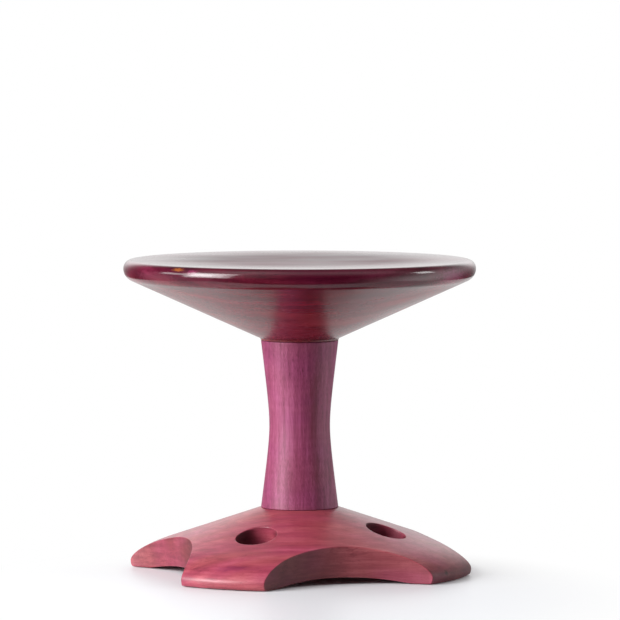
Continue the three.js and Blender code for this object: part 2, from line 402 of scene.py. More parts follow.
@dataclass(frozen=True)
class Joinery:
    """The sizes that both pieces of a joint share."""

    neck_radius: float
    spigot_radius: float = 25 * MM
    spigot_length: float = 18 * MM
    clearance: float = 0.3 * MM
    end_room: float = 0.5 * MM
    bore_radius: float = 7 * MM
    dowel_radius: float = 4 * MM
    dowel_length: float = 30 * MM
    inner_easing: float = 0.5 * MM

    @property
    def recess_radius(self) -> float:
        """The radius of the recess that takes a spigot."""
        return self.spigot_radius + self.clearance

    @property
    def recess_depth(self) -> float:
        """The depth of that recess."""
        return self.spigot_length + self.end_room

    def dowel_hole(self, face: float, upwards: bool) -> BlindHole:
        """Returns a dowel's hole in a joint's face at that height, running up or down from it."""
        run = self.dowel_length / 2 + self.end_room
        end = face + run if upwards else face - run
        return BlindHole(self.dowel_radius + self.clearance, face, end)


def middle_of(node: str) -> np.ndarray:
    """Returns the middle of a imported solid."""
    lowest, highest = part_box(node)
    return np.array((lowest + highest) / 2)


def drilled_ring(
    shell: Shell,
    radii: tuple[float, float],
    angles: np.ndarray,
    hole: BlindHole,
    dowels: Sequence[str],
    steps: int = 12,
) -> None:
    """Adds a joint's flat face, with a hole for each of its dowels.

    Args:
        shell: what the face is added to.
        radii: where the face starts and ends.
        angles: the columns' angles.
        hole: the dowel hole, whose mouth is in the face.
        dowels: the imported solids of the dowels.
        steps: how many steps it has outwards.
    """
    ring = polar(mixed(radii[0], radii[1], eased(steps, 1.3))[:, None], angles[None, :], hole.mouth)
    keep = np.ones((ring.shape[0] - 1, ring.shape[1]), bool)
    for dowel in dowels:
        hole.drill(shell, ring, keep, middle_of(dowel))
    shell.add(ring, keep)


SEAT_DOWELS = ("seat_dowel_left", "seat_dowel_right")
BASE_DOWELS = ("base_dowel_front", "base_dowel_back")


@dataclass(frozen=True)
class Seat:
    """The turned seat: flat on top, with a soft rim, a cone underneath and a pocket for the joint."""

    joinery: Joinery
    radius: float
    bottom: float
    top: float
    insert_top: float
    top_arris_width: float = 9.1 * MM
    top_arris_height: float = 9.8 * MM
    lower_arris_radius: float = 14.4 * MM
    neck_land: float = 2.1 * MM
    neck_easing: float = 1.6 * MM
    pocket_radius: float = 9.8 * MM
    flange_pocket_radius: float = 13.3 * MM
    flange_pocket_depth: float = 2.3 * MM
    pocket_room: float = 2.0 * MM
    columns: int = 288

    def cone_angle(self) -> float:
        """Returns the cone's slope: the tangent from the neck to the circle of the lower arris."""
        across = self.radius - self.lower_arris_radius - self.joinery.neck_radius
        up = self.widest - self.bottom - self.neck_land
        return math.atan2(up, across) - math.asin(self.lower_arris_radius / math.hypot(up, across))

    @property
    def widest(self) -> float:
        """The height of the widest line."""
        return self.top - self.top_arris_height

    def outside(self) -> np.ndarray:
        """Returns the outline from the joint's face, up the neck and the cone and over to the axis."""
        neck = self.joinery.neck_radius
        lower_centre = (self.radius - self.lower_arris_radius, self.widest)
        top_centre = (self.radius - self.top_arris_width, self.widest)
        start = self.cone_angle() - math.pi / 2
        lower = arc(lower_centre, (self.lower_arris_radius,) * 2, start, 0.0, 22)
        over = arc(top_centre, (self.top_arris_width, self.top_arris_height), 0.0, math.pi / 2, 16)
        cone = outline([
            (neck - 2 * self.neck_easing, self.bottom, 0.0),
            (neck, self.bottom, self.neck_easing),
            (neck, self.bottom + self.neck_land, 0.5 * self.neck_easing),
            (*lower[0], 0.0),
        ])
        flat = outline([(*over[-1], 0.0), (0.0, self.top, 0.0)])
        return np.concatenate([cone, lower[1:], over[1:], flat[1:]])

    def pocket(self) -> np.ndarray:
        """Returns the outline from the axis, down the insert's pocket and the recess to its mouth."""
        recess = self.joinery.recess_radius
        recess_top = self.bottom + self.joinery.recess_depth
        flange_top = recess_top + self.flange_pocket_depth
        pocket_top = self.insert_top + self.pocket_room
        easing = self.joinery.inner_easing
        return outline([
            (0.0, pocket_top, 0.0),
            (self.pocket_radius, pocket_top, 0.0),
            (self.pocket_radius, flange_top, easing),
            (self.flange_pocket_radius, flange_top, 0.0),
            (self.flange_pocket_radius, recess_top, easing),
            (recess, recess_top, 0.0),
            (recess, self.bottom, easing),
            (recess + 2 * easing, self.bottom, 0.0),
        ])

    def build(self) -> bpy.types.Object:
        """Returns the seat as one closed piece."""
        shell = Shell()
        angles = evenly_round(self.columns)
        pocket, outside = self.pocket(), self.outside()
        shell.add(turned(pocket, angles))
        hole = self.joinery.dowel_hole(self.bottom, upwards=True)
        drilled_ring(shell, (pocket[-1, 0], outside[0, 0]), angles, hole, SEAT_DOWELS)
        shell.add(turned(outside, angles))
        return shell.piece("turned_seat")


@dataclass(frozen=True)
class Pillar:
    """The turned pillar: a soft waist between two tapers, with a spigot and two dowel holes at each end."""

    joinery: Joinery
    foot: float
    top: float
    end_radius: float
    waist_radius: float = 34.5 * MM
    waist_height: float = 93.2 * MM
    waist_softness: float = 24.0 * MM
    end_easing: float = 0.8 * MM
    columns: int = 192
    side_steps: int = 64
    end_steps: int = 5

    def radius_at(self, height: np.ndarray) -> np.ndarray:
        """Gives the radius at heights above the foot.

        It grows from the waist as sqrt(d^2 + s^2) - s, where d is the distance from the waist, and
        reaches the end radius at each joint.

        Args:
            height: heights above the pillar's foot.

        Returns:
            The radii.
        """
        below = height < self.waist_height
        run = np.where(below, self.waist_height, self.top - self.foot - self.waist_height)
        distances = np.stack([np.abs(height - self.waist_height), run])
        rise = np.hypot(distances, self.waist_softness) - self.waist_softness
        return self.waist_radius + (self.end_radius - self.waist_radius) * rise[0] / rise[1]

    def side(self) -> np.ndarray:
        """Returns the outline between the two joints' faces, with its ends eased."""
        margin = 2 * self.end_easing
        share = eased(self.side_steps, 1.2)
        height = mixed(margin, self.top - self.foot - margin, share)
        middle = np.column_stack([self.radius_at(height), self.foot + height])
        ends = [self.foot, self.top]
        corners = [np.array([self.end_radius, end]) for end in ends]
        inner = [np.array([self.end_radius - 3 * self.end_easing, end]) for end in ends]
        lower = eased_corner(inner[0], corners[0], middle[0], self.end_easing, self.end_steps)
        upper = eased_corner(middle[-1], corners[1], inner[1], self.end_easing, self.end_steps)
        return np.concatenate([inner[:1], lower, middle, upper, inner[1:]])

    def spigot(self, face: float, outwards: float) -> np.ndarray:
        """Gives a spigot's outline, from the bore over its end to the joint's face.

        Args:
            face: the height of the joint's face.
            outwards: 1 where the spigot points up, or -1 where it points down.

        Returns:
            The outline, which ends just outside the spigot on the face.
        """
        end = face + outwards * self.joinery.spigot_length
        middle = (self.foot + self.top) / 2
        bore, spigot = self.joinery.bore_radius, self.joinery.spigot_radius
        easing = self.joinery.inner_easing
        return outline([
            (bore, middle, 0.0),
            (bore, end, easing),
            (spigot, end, 2 * easing),
            (spigot, face, 0.0),
            (spigot + 2 * easing, face, 0.0),
        ], longest=12 * MM)

    def build(self) -> bpy.types.Object:
        """Returns the pillar as one closed piece."""
        shell = Shell()
        angles = evenly_round(self.columns)
        side = self.side()
        for face, outwards, dowels in ((self.foot, -1.0, BASE_DOWELS), (self.top, 1.0, SEAT_DOWELS)):
            spigot = self.spigot(face, outwards)
            shell.add(turned(spigot, angles))
            hole = self.joinery.dowel_hole(face, upwards=outwards < 0)
            drilled_ring(shell, (spigot[-1, 0], side[0, 0]), angles, hole, dowels)
        shell.add(turned(side, angles))
        return shell.piece("turned_pillar")


@dataclass(frozen=True)
class Base:
    """The base: a turned dome, hollowed underneath, sawn into four feet and drilled by hand holes.

    Its columns run out from the neck to the plan's edge, down the wall and back in underneath.
    """

    joinery: Joinery
    radius: float
    foot_plane: float
    top: float
    rim_width: float = 43.0 * MM
    shoulder_height: float = 35.0 * MM
    rim_roundness: float = 0.57
    widest_height: float = 7.0 * MM
    lower_arris_width: float = 3.2 * MM
    foot_ring_width: float = 20.8 * MM
    hollow_depth: float = 18.0 * MM
    scallop_mouth: float = 197.0 * MM
    scallop_depth: float = 62.5 * MM
    scallop_angle: float = math.radians(18.65)
    hand_hole_radius: float = 23.4 * MM
    hand_hole_distance: float = 109.0 * MM
    counterbore_radius: float = 19.0 * MM
    counterbore_depth: float = 16.0 * MM
    glide_seat_radius: float = 7.3 * MM
    glide_seat_top: float = 3.3 * MM
    neck_easing: float = 1.0 * MM
    hollow_softness: float = 0.4 * MM
    arris: float = 0.9 * MM
    arris_change: float = 0.3
    arris_reach: float = 2.5
    least_steepness: float = 0.25
    feet: int = 4
    rim_columns: int = 40
    scallop_columns: int = 64
    face_rows: int = 50
    wall_rows: int = 18
    mouth_rows: int = 10
    hole_rows: int = 16
    hole_room: tuple[float, float] = (5.0 * MM, 7.0 * MM)
    settling_steps: int = 8
    easing_steps: int = 4

    @property
    def shoulder(self) -> tuple[float, float]:
        """The radius and height where the cone turns into the rim."""
        return self.radius - self.rim_width, self.foot_plane + self.shoulder_height

    @property
    def slope(self) -> float:
        """How much the cone falls for each metre outwards."""
        shoulder_radius, shoulder_height = self.shoulder
        return (self.top - shoulder_height) / (shoulder_radius - self.joinery.neck_radius)

    @property
    def widest(self) -> float:
        """The height of the widest line."""
        return self.foot_plane + self.widest_height

    @property
    def foot_outer_radius(self) -> float:
        """Where the flat of a foot ends under the rim."""
        return self.radius - self.lower_arris_width

    @property
    def hollow_radius(self) -> float:
        """Where the flat of a foot ends at the hollow."""
        return self.foot_outer_radius - self.foot_ring_width

    @property
    def foot_angles(self) -> np.ndarray:
        """The angles of the feet's middles."""
        return self.scallop_angle + (np.arange(self.feet) - 0.5) * math.tau / self.feet

    def rim(self, steps: int = 160) -> np.ndarray:
        """Gives the rim from the shoulder to the widest line.

        It is a cubic Bezier that leaves the cone along its slope and ends upright, with both handles
        the same share of the way to the corner where those two directions cross.

        Args:
            steps: how many steps it has.

        Returns:
            Its points as radius and height.
        """
        start = np.array(self.shoulder)
        end = np.array([self.radius, self.widest])
        corner = np.array([self.radius, start[1] - self.slope * self.rim_width])
        first = mixed(start, corner, self.rim_roundness)
        second = mixed(end, corner, self.rim_roundness)
        t = np.linspace(0.0, 1.0, steps + 1)[:, None]
        return (1 - t) ** 3 * start + 3 * t * (1 - t) ** 2 * first + 3 * t**2 * (1 - t) * second + t**3 * end

    def top_height(self, radius: np.ndarray) -> np.ndarray:
        """Returns the upper surface's height: a flat, an eased turn into the cone, and then the rim."""
        rim = self.rim()
        cone = self.top - self.slope * hinge(radius - self.joinery.neck_radius, self.neck_easing)
        return np.where(radius < self.shoulder[0], cone, np.interp(radius, rim[:, 0], rim[:, 1]))

    def under_height(self, radius: np.ndarray) -> np.ndarray:
        """Returns the lower surface's height: a shallow sphere, the flat of the feet and the lower arris."""
        sphere = (self.hollow_radius**2 + self.hollow_depth**2) / (2 * self.hollow_depth)
        centre = self.hollow_depth - sphere
        hollow = hinge(centre + np.sqrt(sphere**2 - radius**2), self.hollow_softness)
        share = np.clip((radius - self.foot_outer_radius) / self.lower_arris_width, 0.0, 1.0)
        curl = self.widest_height * (1.0 - np.sqrt(1.0 - share**2))
        return self.foot_plane + np.where(radius > self.foot_outer_radius, curl, hollow)

    def plan(self) -> tuple[np.ndarray, np.ndarray, np.ndarray]:
        """Works out the plan's edge as arcs of the rim and of the scallops' circles in turn.

        Returns:
            The radius and the angle of each column's outer end, and the even angle of its inner end.
        """
        half_mouth = self.scallop_mouth / 2
        circle, distance = self.scallop_circle()
        corner = math.pi / self.feet - math.asin(half_mouth / self.radius)
        sweep = math.asin(half_mouth / circle)
        along_rim = mixed(-corner, corner, eased(self.rim_columns, 1.6)[:-1])
        swing = mixed(-sweep, sweep, eased(self.scallop_columns, 2.0)[:-1])
        inwards, aside = distance - circle * np.cos(swing), circle * np.sin(swing)
        radii = np.concatenate([np.full(self.rim_columns, self.radius), np.hypot(inwards, aside)])
        turn = math.tau / self.feet
        angles = np.concatenate([along_rim, turn / 2 + np.arctan2(aside, inwards)])
        even = (np.arange(len(radii)) - self.rim_columns / 2) * turn / len(radii)
        starts = self.foot_angles[:, None]
        return np.tile(radii, self.feet), (starts + angles).ravel(), (starts + even).ravel()

    def scallop_circle(self) -> tuple[float, float]:
        """Returns the radius of a scallop's cut and how far its middle is from the axis."""
        half_mouth = self.scallop_mouth / 2
        chord_distance = math.sqrt(self.radius**2 - half_mouth**2)
        sagitta = chord_distance - (self.radius - self.scallop_depth)
        circle = (half_mouth**2 + sagitta**2) / (2 * sagitta)
        return circle, self.radius - self.scallop_depth + circle

    def face(self, inner: float, height: Height) -> np.ndarray:
        """Gives the upper or the lower surface, from an inner circle out to the plan's edge.

        A row is a share t of the way out. Its radius is inner + (edge - inner) t, and its angle goes
        from the even angle to the edge's angle in the same way.

        Args:
            inner: the radius of the inner circle.
            height: gives the surface's height from an array of radii.

        Returns:
            The grid, with its rows running outwards.
        """
        edge_radius, edge_angle, even_angle = self.plan()
        share = eased(self.face_rows)[:, None]
        radius = mixed(inner, edge_radius[None], share)
        return polar(radius, mixed(even_angle[None], edge_angle[None], share), height(radius))

    def wall(self) -> np.ndarray:
        """Returns the plan's edge carried down from the upper to the lower surface."""
        edge_radius, edge_angle, _ = self.plan()
        upper, under = self.top_height(edge_radius), self.under_height(edge_radius)
        height = mixed(upper[None], under[None], eased(self.wall_rows)[:, None])
        return polar(edge_radius[None], edge_angle[None], height)

    def middle(self) -> np.ndarray:
        """Returns the outline from the hollow, up the counterbore, the bore and the recess to the neck."""
        ceiling = self.foot_plane + self.hollow_depth + self.counterbore_depth
        recess, floor = self.joinery.recess_radius, self.top - self.joinery.recess_depth
        bore, easing = self.joinery.bore_radius, self.joinery.inner_easing
        mouth = float(self.under_height(np.array(self.counterbore_radius)))
        return outline([
            (self.counterbore_radius, mouth, 0.0),
            (self.counterbore_radius, ceiling, 0.0),
            (bore, ceiling, easing),
            (bore, floor, easing),
            (recess, floor, 0.0),
            (recess, self.top, easing),
            (recess + 2 * easing, self.top, 0.0),
        ])

    def hand_hole_frame(self, foot_angle: float) -> tuple[np.ndarray, np.ndarray, np.ndarray, np.ndarray]:
        """Works out where a hand hole stands. It leaves the sloping top at right angles.

        Args:
            foot_angle: the angle of its foot.

        Returns:
            The middle of its mouth, its axis, and the two directions across it: outwards and aside.
        """
        lean = math.atan(self.slope)
        outward = np.array([math.sin(foot_angle), -math.cos(foot_angle), 0.0])
        up = np.array([0.0, 0.0, 1.0])
        mouth_height = self.top - self.slope * (self.hand_hole_distance - self.joinery.neck_radius)
        middle = self.hand_hole_distance * outward + mouth_height * up
        axis = math.sin(lean) * outward + math.cos(lean) * up
        across = math.cos(lean) * outward - math.sin(lean) * up
        return middle, axis, across, np.array([-outward[1], outward[0], 0.0])

    def drill_hand_hole(
        self, shell: Shell, faces: Sequence[np.ndarray], keeps: Sequence[np.ndarray], foot_angle: float
    ) -> None:
        """Fits a hand hole between the upper and the lower surface.

        Round the hole each point is middle + R (cos b across + sin b aside) + a axis, where a is
        settled by a few steps so that the mouths lie on the two surfaces.

        Args:
            shell: what the hole's surface is added to.
            faces: the upper and the lower surface.
            keeps: their faces, where a block round the hole is marked as left out.
            foot_angle: the angle of its foot.
        """
        middle, axis, across, aside = self.hand_hole_frame(foot_angle)
        outward = axis[:2] / np.linalg.norm(axis[:2])
        room = (self.hand_hole_radius + self.hole_room[0], self.hand_hole_radius + self.hole_room[1])
        turns, depths = [], []
        window = None
        for grid, keep, height in zip(faces, keeps, (self.top_height, self.under_height)):
            depth = 0.0
            for _ in range(self.settling_steps):
                centre = middle + depth * axis
                depth += (float(height(np.hypot(*centre[:2]))) - centre[2]) * axis[2]
            found = Window.about(grid, centre, room)
            if window is None:
                window = found
            rows = window.last_row - window.first_row
            window = Window(found.first_row, found.first_row + rows, window.first_column, window.last_column)
            window.clear(keep)
            rim = window.rim(grid)
            turn = bearings(rim, centre, outward)
            depth = np.full(len(rim), depth)
            circle = np.cos(turn)[:, None] * across + np.sin(turn)[:, None] * aside
            circle *= self.hand_hole_radius
            for _ in range(self.settling_steps):
                mouth = middle + circle + depth[:, None] * axis
                depth += (height(np.hypot(mouth[:, 0], mouth[:, 1])) - mouth[:, 2]) * axis[2]
            fit_hole(shell, rim, mouth, height, self.mouth_rows)
            turns.append(np.unwrap(turn))
            depths.append(depth)
        turns[1] += np.round((turns[0] - turns[1]).mean() / math.tau) * math.tau
        share = eased(self.hole_rows)[:, None]
        turn, depth = mixed(turns[0], turns[1], share), mixed(depths[0], depths[1], share)
        circle = np.cos(turn)[..., None] * across + np.sin(turn)[..., None] * aside
        shell.add(middle + self.hand_hole_radius * circle + depth[..., None] * axis)

    def blank_outline(self) -> np.ndarray:
        """Returns the outline of the turned blank, out over the top and back underneath."""
        neck = self.joinery.neck_radius
        out = np.concatenate([
            np.linspace(self.joinery.recess_radius, neck + 8 * self.neck_easing, 12),
            np.linspace(neck + 12 * self.neck_easing, self.shoulder[0], 6),
        ])
        upper = np.column_stack([out, self.top_height(out)])
        curl = arc((self.foot_outer_radius, self.widest), (self.lower_arris_width, self.widest_height),
                   0.0, -math.pi / 2, 24)
        back = np.linspace(self.foot_outer_radius, self.counterbore_radius, 28)[1:]
        under = np.column_stack([back, self.under_height(back)])
        return np.concatenate([upper[:-1], self.rim(48), curl[1:], under])

    def cut_distances(self, points: np.ndarray) -> np.ndarray:
        """Returns how deep each point lies in the nearest scallop or hand hole, negative outside them."""
        circle, distance = self.scallop_circle()
        turns = self.foot_angles + math.pi / self.feet
        middles = np.column_stack([distance * np.sin(turns), -distance * np.cos(turns)])
        gaps = [circle - np.linalg.norm(points[:, :2] - middle, axis=1) for middle in middles]
        for foot_angle in self.foot_angles:
            middle, axis, _, _ = self.hand_hole_frame(foot_angle)
            offset = points - middle
            radial = offset - (offset @ axis)[:, None] * axis
            gaps.append(self.hand_hole_radius - np.linalg.norm(radial, axis=1))
        return np.max(gaps, axis=0)

    def eased_distance(self, points: np.ndarray, blank: np.ndarray) -> np.ndarray:
        """Gives the distance outside the base once the arrises left by saw and drill are eased.

        With b the distance outside the blank, c the depth inside a cut and e the easing, it is
        sqrt(max(b + e, 0)^2 + max(c + e, 0)^2) - e near an arris. The easing changes gently from
        place to place, as sanding by hand leaves it.

        Args:
            points: where it is measured.
            blank: the blank's outline.

        Returns:
            The distances, negative inside.
        """
        flat = np.column_stack([np.hypot(points[:, 0], points[:, 1]), points[:, 2]])
        outside = signed_distance(flat, blank)
        waver = np.prod(np.sin(points @ np.array([[61.0, -37.0], [47.0, 71.0], [83.0, 29.0]])), axis=1)
        easing = self.arris * (1.0 + self.arris_change * waver)
        beyond = np.maximum(outside + easing, 0.0)
        into_cut = np.maximum(self.cut_distances(points) + easing, 0.0)
        return np.hypot(beyond, into_cut) - easing

    def ease_arrises(self, points: np.ndarray) -> np.ndarray:
        """Draws the points near an arris in to the eased surface, by Newton steps along its gradient."""
        blank = self.blank_outline()
        room = self.arris_reach * self.arris
        cut = self.cut_distances(points)
        radius = np.hypot(points[:, 0], points[:, 1])
        below = self.top_height(np.minimum(radius, self.radius)) - points[:, 2]
        above = points[:, 2] - self.under_height(np.minimum(radius, self.radius))
        on_face = np.minimum(below, above) < room
        near = (cut > -room) & (on_face | (radius > self.foot_outer_radius - room))
        moved = points[near]
        probe = 0.01 * MM
        for _ in range(self.easing_steps):
            value = self.eased_distance(moved, blank)
            gradient = np.column_stack([
                self.eased_distance(moved + step, blank) - self.eased_distance(moved - step, blank)
                for step in np.eye(3) * probe
            ]) / (2 * probe)
            length = np.maximum((gradient**2).sum(axis=1), self.least_steepness)
            moved = moved - (value / length)[:, None] * gradient
        points = points.copy()
        points[near] = moved
        return points

    def build(self) -> bpy.types.Object:
        """Returns the base as one closed piece."""
        shell = Shell()
        neck, even_angles = self.joinery.neck_radius, self.plan()[2]
        faces = [self.face(neck, self.top_height), self.face(self.counterbore_radius, self.under_height)]
        keeps = [np.ones((face.shape[0] - 1, face.shape[1]), bool) for face in faces]
        glide_seat = BlindHole(self.glide_seat_radius, self.foot_plane, self.glide_seat_top)
        glide_distance = self.foot_outer_radius - self.foot_ring_width / 2
        for foot_angle in self.foot_angles:
            self.drill_hand_hole(shell, faces, keeps, foot_angle)
            centre = polar(np.array(glide_distance), np.array(foot_angle), np.array(self.foot_plane))
            glide_seat.drill(shell, faces[1], keeps[1], centre, self.under_height)
        for face, keep in zip(faces, keeps):
            shell.add(face, keep)
        shell.add(self.wall())
        middle = self.middle()
        shell.add(turned(middle, even_angles))
        hole = self.joinery.dowel_hole(self.top, upwards=False)
        ring = (middle[-1, 0], neck - 3 * self.neck_easing)
        drilled_ring(shell, ring, even_angles, hole, BASE_DOWELS)
        lip = mixed(ring[1], neck, np.linspace(0.0, 1.0, 5))
        shell.add(polar(lip[:, None], even_angles[None], self.top_height(lip)[:, None]))
        return shell.piece("sawn_base", self.ease_arrises)


def signed_distance(points: np.ndarray, line: np.ndarray) -> np.ndarray:
    """Gives the distance from points to a line of straight steps.

    Args:
        points: an array of points in the plane.
        line: the line's points, with the material on its right.

    Returns:
        The distances, positive on the line's left.
    """
    start, along = line[:-1], np.diff(line, axis=0)
    offset = points[:, None] - start
    share = np.clip((offset * along).sum(axis=-1) / (along**2).sum(axis=-1), 0.0, 1.0)
    gap = np.linalg.norm(offset - share[..., None] * along, axis=-1)
    nearest = np.argmin(gap, axis=1)
    rows = np.arange(len(points))
    beside = offset[rows, nearest]
    step = along[nearest]
    side = step[:, 0] * beside[:, 1] - step[:, 1] * beside[:, 0]
    return np.copysign(gap[rows, nearest], side)


@dataclass(frozen=True)
class TieRod:
    """The rod that draws seat, pillar and base together, threaded from end to end."""

    radius: float
    bottom: float
    top: float
    pitch: float = 1.75 * MM
    thread_depth: float = 0.95 * MM
    groove_slope: float = 2.5
    crest_share: float = 0.75
    end_chamfer: float = 1.0 * MM
    columns: int = 24
    rows_each_turn: int = 7

    def build(self) -> bpy.types.Object:
        """Makes the rod as one closed piece.

        With t the share of a turn by which a point is ahead of the helix z = pitch x a / 2 pi, the
        radius is the outer radius less the thread's depth x clip(slope x |2 t - 1| - crest, 0, 1),
        and no more than the chamfer allows at either end.

        Returns:
            The rod.
        """
        angles = evenly_round(self.columns)
        length = self.top - self.bottom
        rows = int(length / self.pitch * self.rows_each_turn)
        height = np.linspace(0.0, length, rows + 1)[:, None]
        ahead = (height / self.pitch - angles[None] / math.tau) % 1.0
        groove = np.clip(self.groove_slope * np.abs(2.0 * ahead - 1.0) - self.crest_share, 0.0, 1.0)
        chamfered = self.radius - self.end_chamfer + np.minimum(height, length - height)
        radius = np.minimum(self.radius - self.thread_depth * groove, chamfered)
        grid = polar(radius, angles[None], self.bottom + height)
        shell = Shell()
        shell.add(grid)
        for end in (grid[0], grid[-1]):
            cap = mixed(end[None], 0.0, np.linspace(0.0, 1.0, 4)[:, None, None])
            cap[..., 2] = end[0, 2]
            shell.add(cap)
        return shell.piece("threaded_rod")


@dataclass(frozen=True)
class Nut:
    """The hexagon nut under the base, with its corners turned off at both faces."""

    bottom: float
    top: float
    across_flats: float = 19.0 * MM
    bore_radius: float = 6.3 * MM
    corner_softness: float = 90.0
    turned_off_from: float = 0.95
    chamfer_angle: float = math.radians(30.0)
    countersink: float = 0.9 * MM
    columns: int = 144

    def build(self) -> bpy.types.Object:
        """Makes the nut as one closed piece.

        At an angle a its side lies at flat / (sum of max(cos(a - f), 0)^p)^(1/p) over the angles f
        of the six flats, where a high p keeps the corners tight. Beyond a circle just inside the
        flats both faces fall away as a cone.

        Returns:
            The nut.
        """
        angles = evenly_round(self.columns)
        flat = self.across_flats / 2
        to_flats = np.maximum(np.cos(angles[:, None] - evenly_round(6)[None]), 0.0)
        side = flat / (to_flats**self.corner_softness).sum(axis=1) ** (1.0 / self.corner_softness)
        share = eased(12, 1.5)[:, None]
        radius = mixed(self.bore_radius + self.countersink, side[None], share)
        drop = hinge(radius - self.turned_off_from * flat, 0.15 * MM) * math.tan(self.chamfer_angle)
        lower = polar(radius, angles[None], self.bottom + drop)
        upper = polar(radius, angles[None], self.top - drop)
        height = mixed(lower[-1, :, 2][None], upper[-1, :, 2][None], eased(8)[:, None])
        bore = outline([
            (self.bore_radius + self.countersink, self.bottom, 0.0),
            (self.bore_radius, self.bottom + self.countersink, 0.2 * MM),
            (self.bore_radius, self.top - self.countersink, 0.2 * MM),
            (self.bore_radius + self.countersink, self.top, 0.0),
        ])
        shell = Shell()
        shell.add(lower)
        shell.add(polar(side[None], angles[None], height))
        shell.add(upper)
        shell.add(turned(bore, angles))
        return shell.piece("hexagon_nut")


@dataclass(frozen=True)
class Washer:
    """The large washer that the nut bears on, with the rolled edge that a punch leaves."""

    radius: float
    bottom: float
    top: float
    bore_radius: float = 6.3 * MM
    rolled_edge: float = 0.9 * MM
    sharp_edge: float = 0.25 * MM
    columns: int = 96

    def build(self) -> bpy.types.Object:
        """Returns the washer as one closed piece."""
        middle = (self.bottom + self.top) / 2
        profile = outline([
            (self.bore_radius, middle, 0.0),
            (self.bore_radius, self.bottom, self.rolled_edge),
            (self.radius, self.bottom, self.rolled_edge),
            (self.radius, self.top, self.sharp_edge),
            (self.bore_radius, self.top, self.sharp_edge),
            (self.bore_radius, middle, 0.0),
        ], longest=3 * MM)
        shell = Shell()
        shell.add(turned(profile, evenly_round(self.columns)))
        return shell.piece("punched_washer")


@dataclass(frozen=True)
class Insert:
    """The flanged bush in the seat, whose saw-tooth barbs hold it in the wood."""

    flange_radius: float
    bottom: float
    top: float
    bore_radius: float = 6.3 * MM
    wall: float = 3.2 * MM
    flange_thickness: float = 2.0 * MM
    barbs: int = 5
    barb_depth: float = 0.9 * MM
    columns: int = 64

    def build(self) -> bpy.types.Object:
        """Returns the bush as one closed piece, each barb widest at its lower end."""
        outer = self.bore_radius + self.wall
        start = self.bottom + self.flange_thickness
        pitch = (self.top - start) / self.barbs
        edge = 0.25 * MM
        teeth = []
        for barb in range(self.barbs):
            teeth.append((outer, start + pitch * barb, 0.0 if barb == 0 else edge))
            teeth.append((outer - self.barb_depth, start + pitch * (barb + 1), 0.0))
        middle = (self.bottom + self.top) / 2
        profile = outline([
            (self.bore_radius, middle, 0.0),
            (self.bore_radius, self.bottom, edge),
            (self.flange_radius, self.bottom, 2 * edge),
            (self.flange_radius, start, 2 * edge),
            *teeth,
            (self.bore_radius, self.top, edge),
            (self.bore_radius, middle, 0.0),
        ], longest=3 * MM, steps=3)
        shell = Shell()
        shell.add(turned(profile, evenly_round(self.columns)))
        return shell.piece("barbed_insert")


@dataclass(frozen=True)
class Dowel:
    """A fluted dowel that stops a joint turning."""

    node: str
    radius: float = 4.0 * MM
    flutes: int = 16
    flute_depth: float = 0.3 * MM
    chamfer: float = 1.0 * MM
    columns: int = 96

    def build(self) -> bpy.types.Object:
        """Makes the dowel as one closed piece.

        Its radius is the outer radius less the flutes' depth x (1/2 + cos(flutes x a) / 2)^2, and no
        more than the chamfers allow.

        Returns:
            The dowel.
        """
        angles = evenly_round(self.columns)
        bottom, top = low(self.node), high(self.node)
        height = mixed(0.0, top - bottom, eased(16, 2.2))[:, None]
        fluted = self.radius - self.flute_depth * (0.5 + 0.5 * np.cos(self.flutes * angles[None])) ** 2
        chamfered = self.radius - self.chamfer + np.minimum(height, top - bottom - height)
        grid = polar(np.minimum(fluted, chamfered), angles[None], bottom + height)
        shell = Shell()
        place = middle_of(self.node) * (1.0, 1.0, 0.0)
        shell.add(grid + place)
        for end in (grid[0], grid[-1]):
            cap = mixed(end[None], end[None] * (0.0, 0.0, 1.0), np.linspace(0.0, 1.0, 5)[:, None, None])
            shell.add(cap + place)
        return shell.piece(self.node.replace("dowel", "fluted_dowel"))


@dataclass(frozen=True)
class Glide:
    """A felt disc let into a foot, with pressed edges and a slightly uneven pile."""

    node: str
    edge: float = 0.5 * MM
    pile: float = 0.12 * MM
    waves: int = 24
    waves_per_metre: float = 1600.0
    seed: int = 7
    columns: int = 96

    def build(self) -> bpy.types.Object:
        """Makes the disc as one closed piece.

        Each point is drawn in along its own bearing and height by the pile x a smooth unevenness,
        so that no fibre stands outside the disc that was cut.

        Returns:
            The disc.
        """
        lowest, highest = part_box(self.node)
        centre = middle_of(self.node)
        radius = (highest.x - lowest.x) / 2
        profile = outline([
            (0.0, lowest.z, 0.0),
            (radius, lowest.z, self.edge),
            (radius, highest.z, self.edge),
            (0.0, highest.z, 0.0),
        ], longest=0.6 * MM)
        grid = turned(profile, evenly_round(self.columns))
        rng = np.random.default_rng(self.seed)
        waves = rng.normal(0.0, self.waves_per_metre, (3, self.waves))
        ripple = np.sin(grid @ waves + rng.uniform(0.0, math.tau, self.waves))
        unevenness = 0.5 + 0.5 * ripple.mean(axis=-1, keepdims=True)
        inwards = (np.array([0.0, 0.0, centre[2]]) - grid) / np.array([radius, radius, centre[2]])
        shell = Shell()
        shell.add(grid + inwards * self.pile * unevenness + centre * (1.0, 1.0, 0.0))
        return shell.piece(self.node.replace("glide", "felt_glide"))


class Repeat(Enum):
    """How often a part of the wood's figure repeats in a metre: along the grain and across it."""

    LINES = (9.0, 150.0, 150.0)
    BREAKS = (16.0, 60.0, 60.0)
    FIBRES = (45.0, 1500.0, 1500.0)
    PORES = (70.0, 1000.0, 1000.0)
    RIPPLES = (150.0, 22.0, 22.0)
    CLOUDS = (8.0, 16.0, 16.0)
    HUES = (9.0, 30.0, 30.0)
    RAGGED_EDGE = (60.0, 500.0, 500.0)


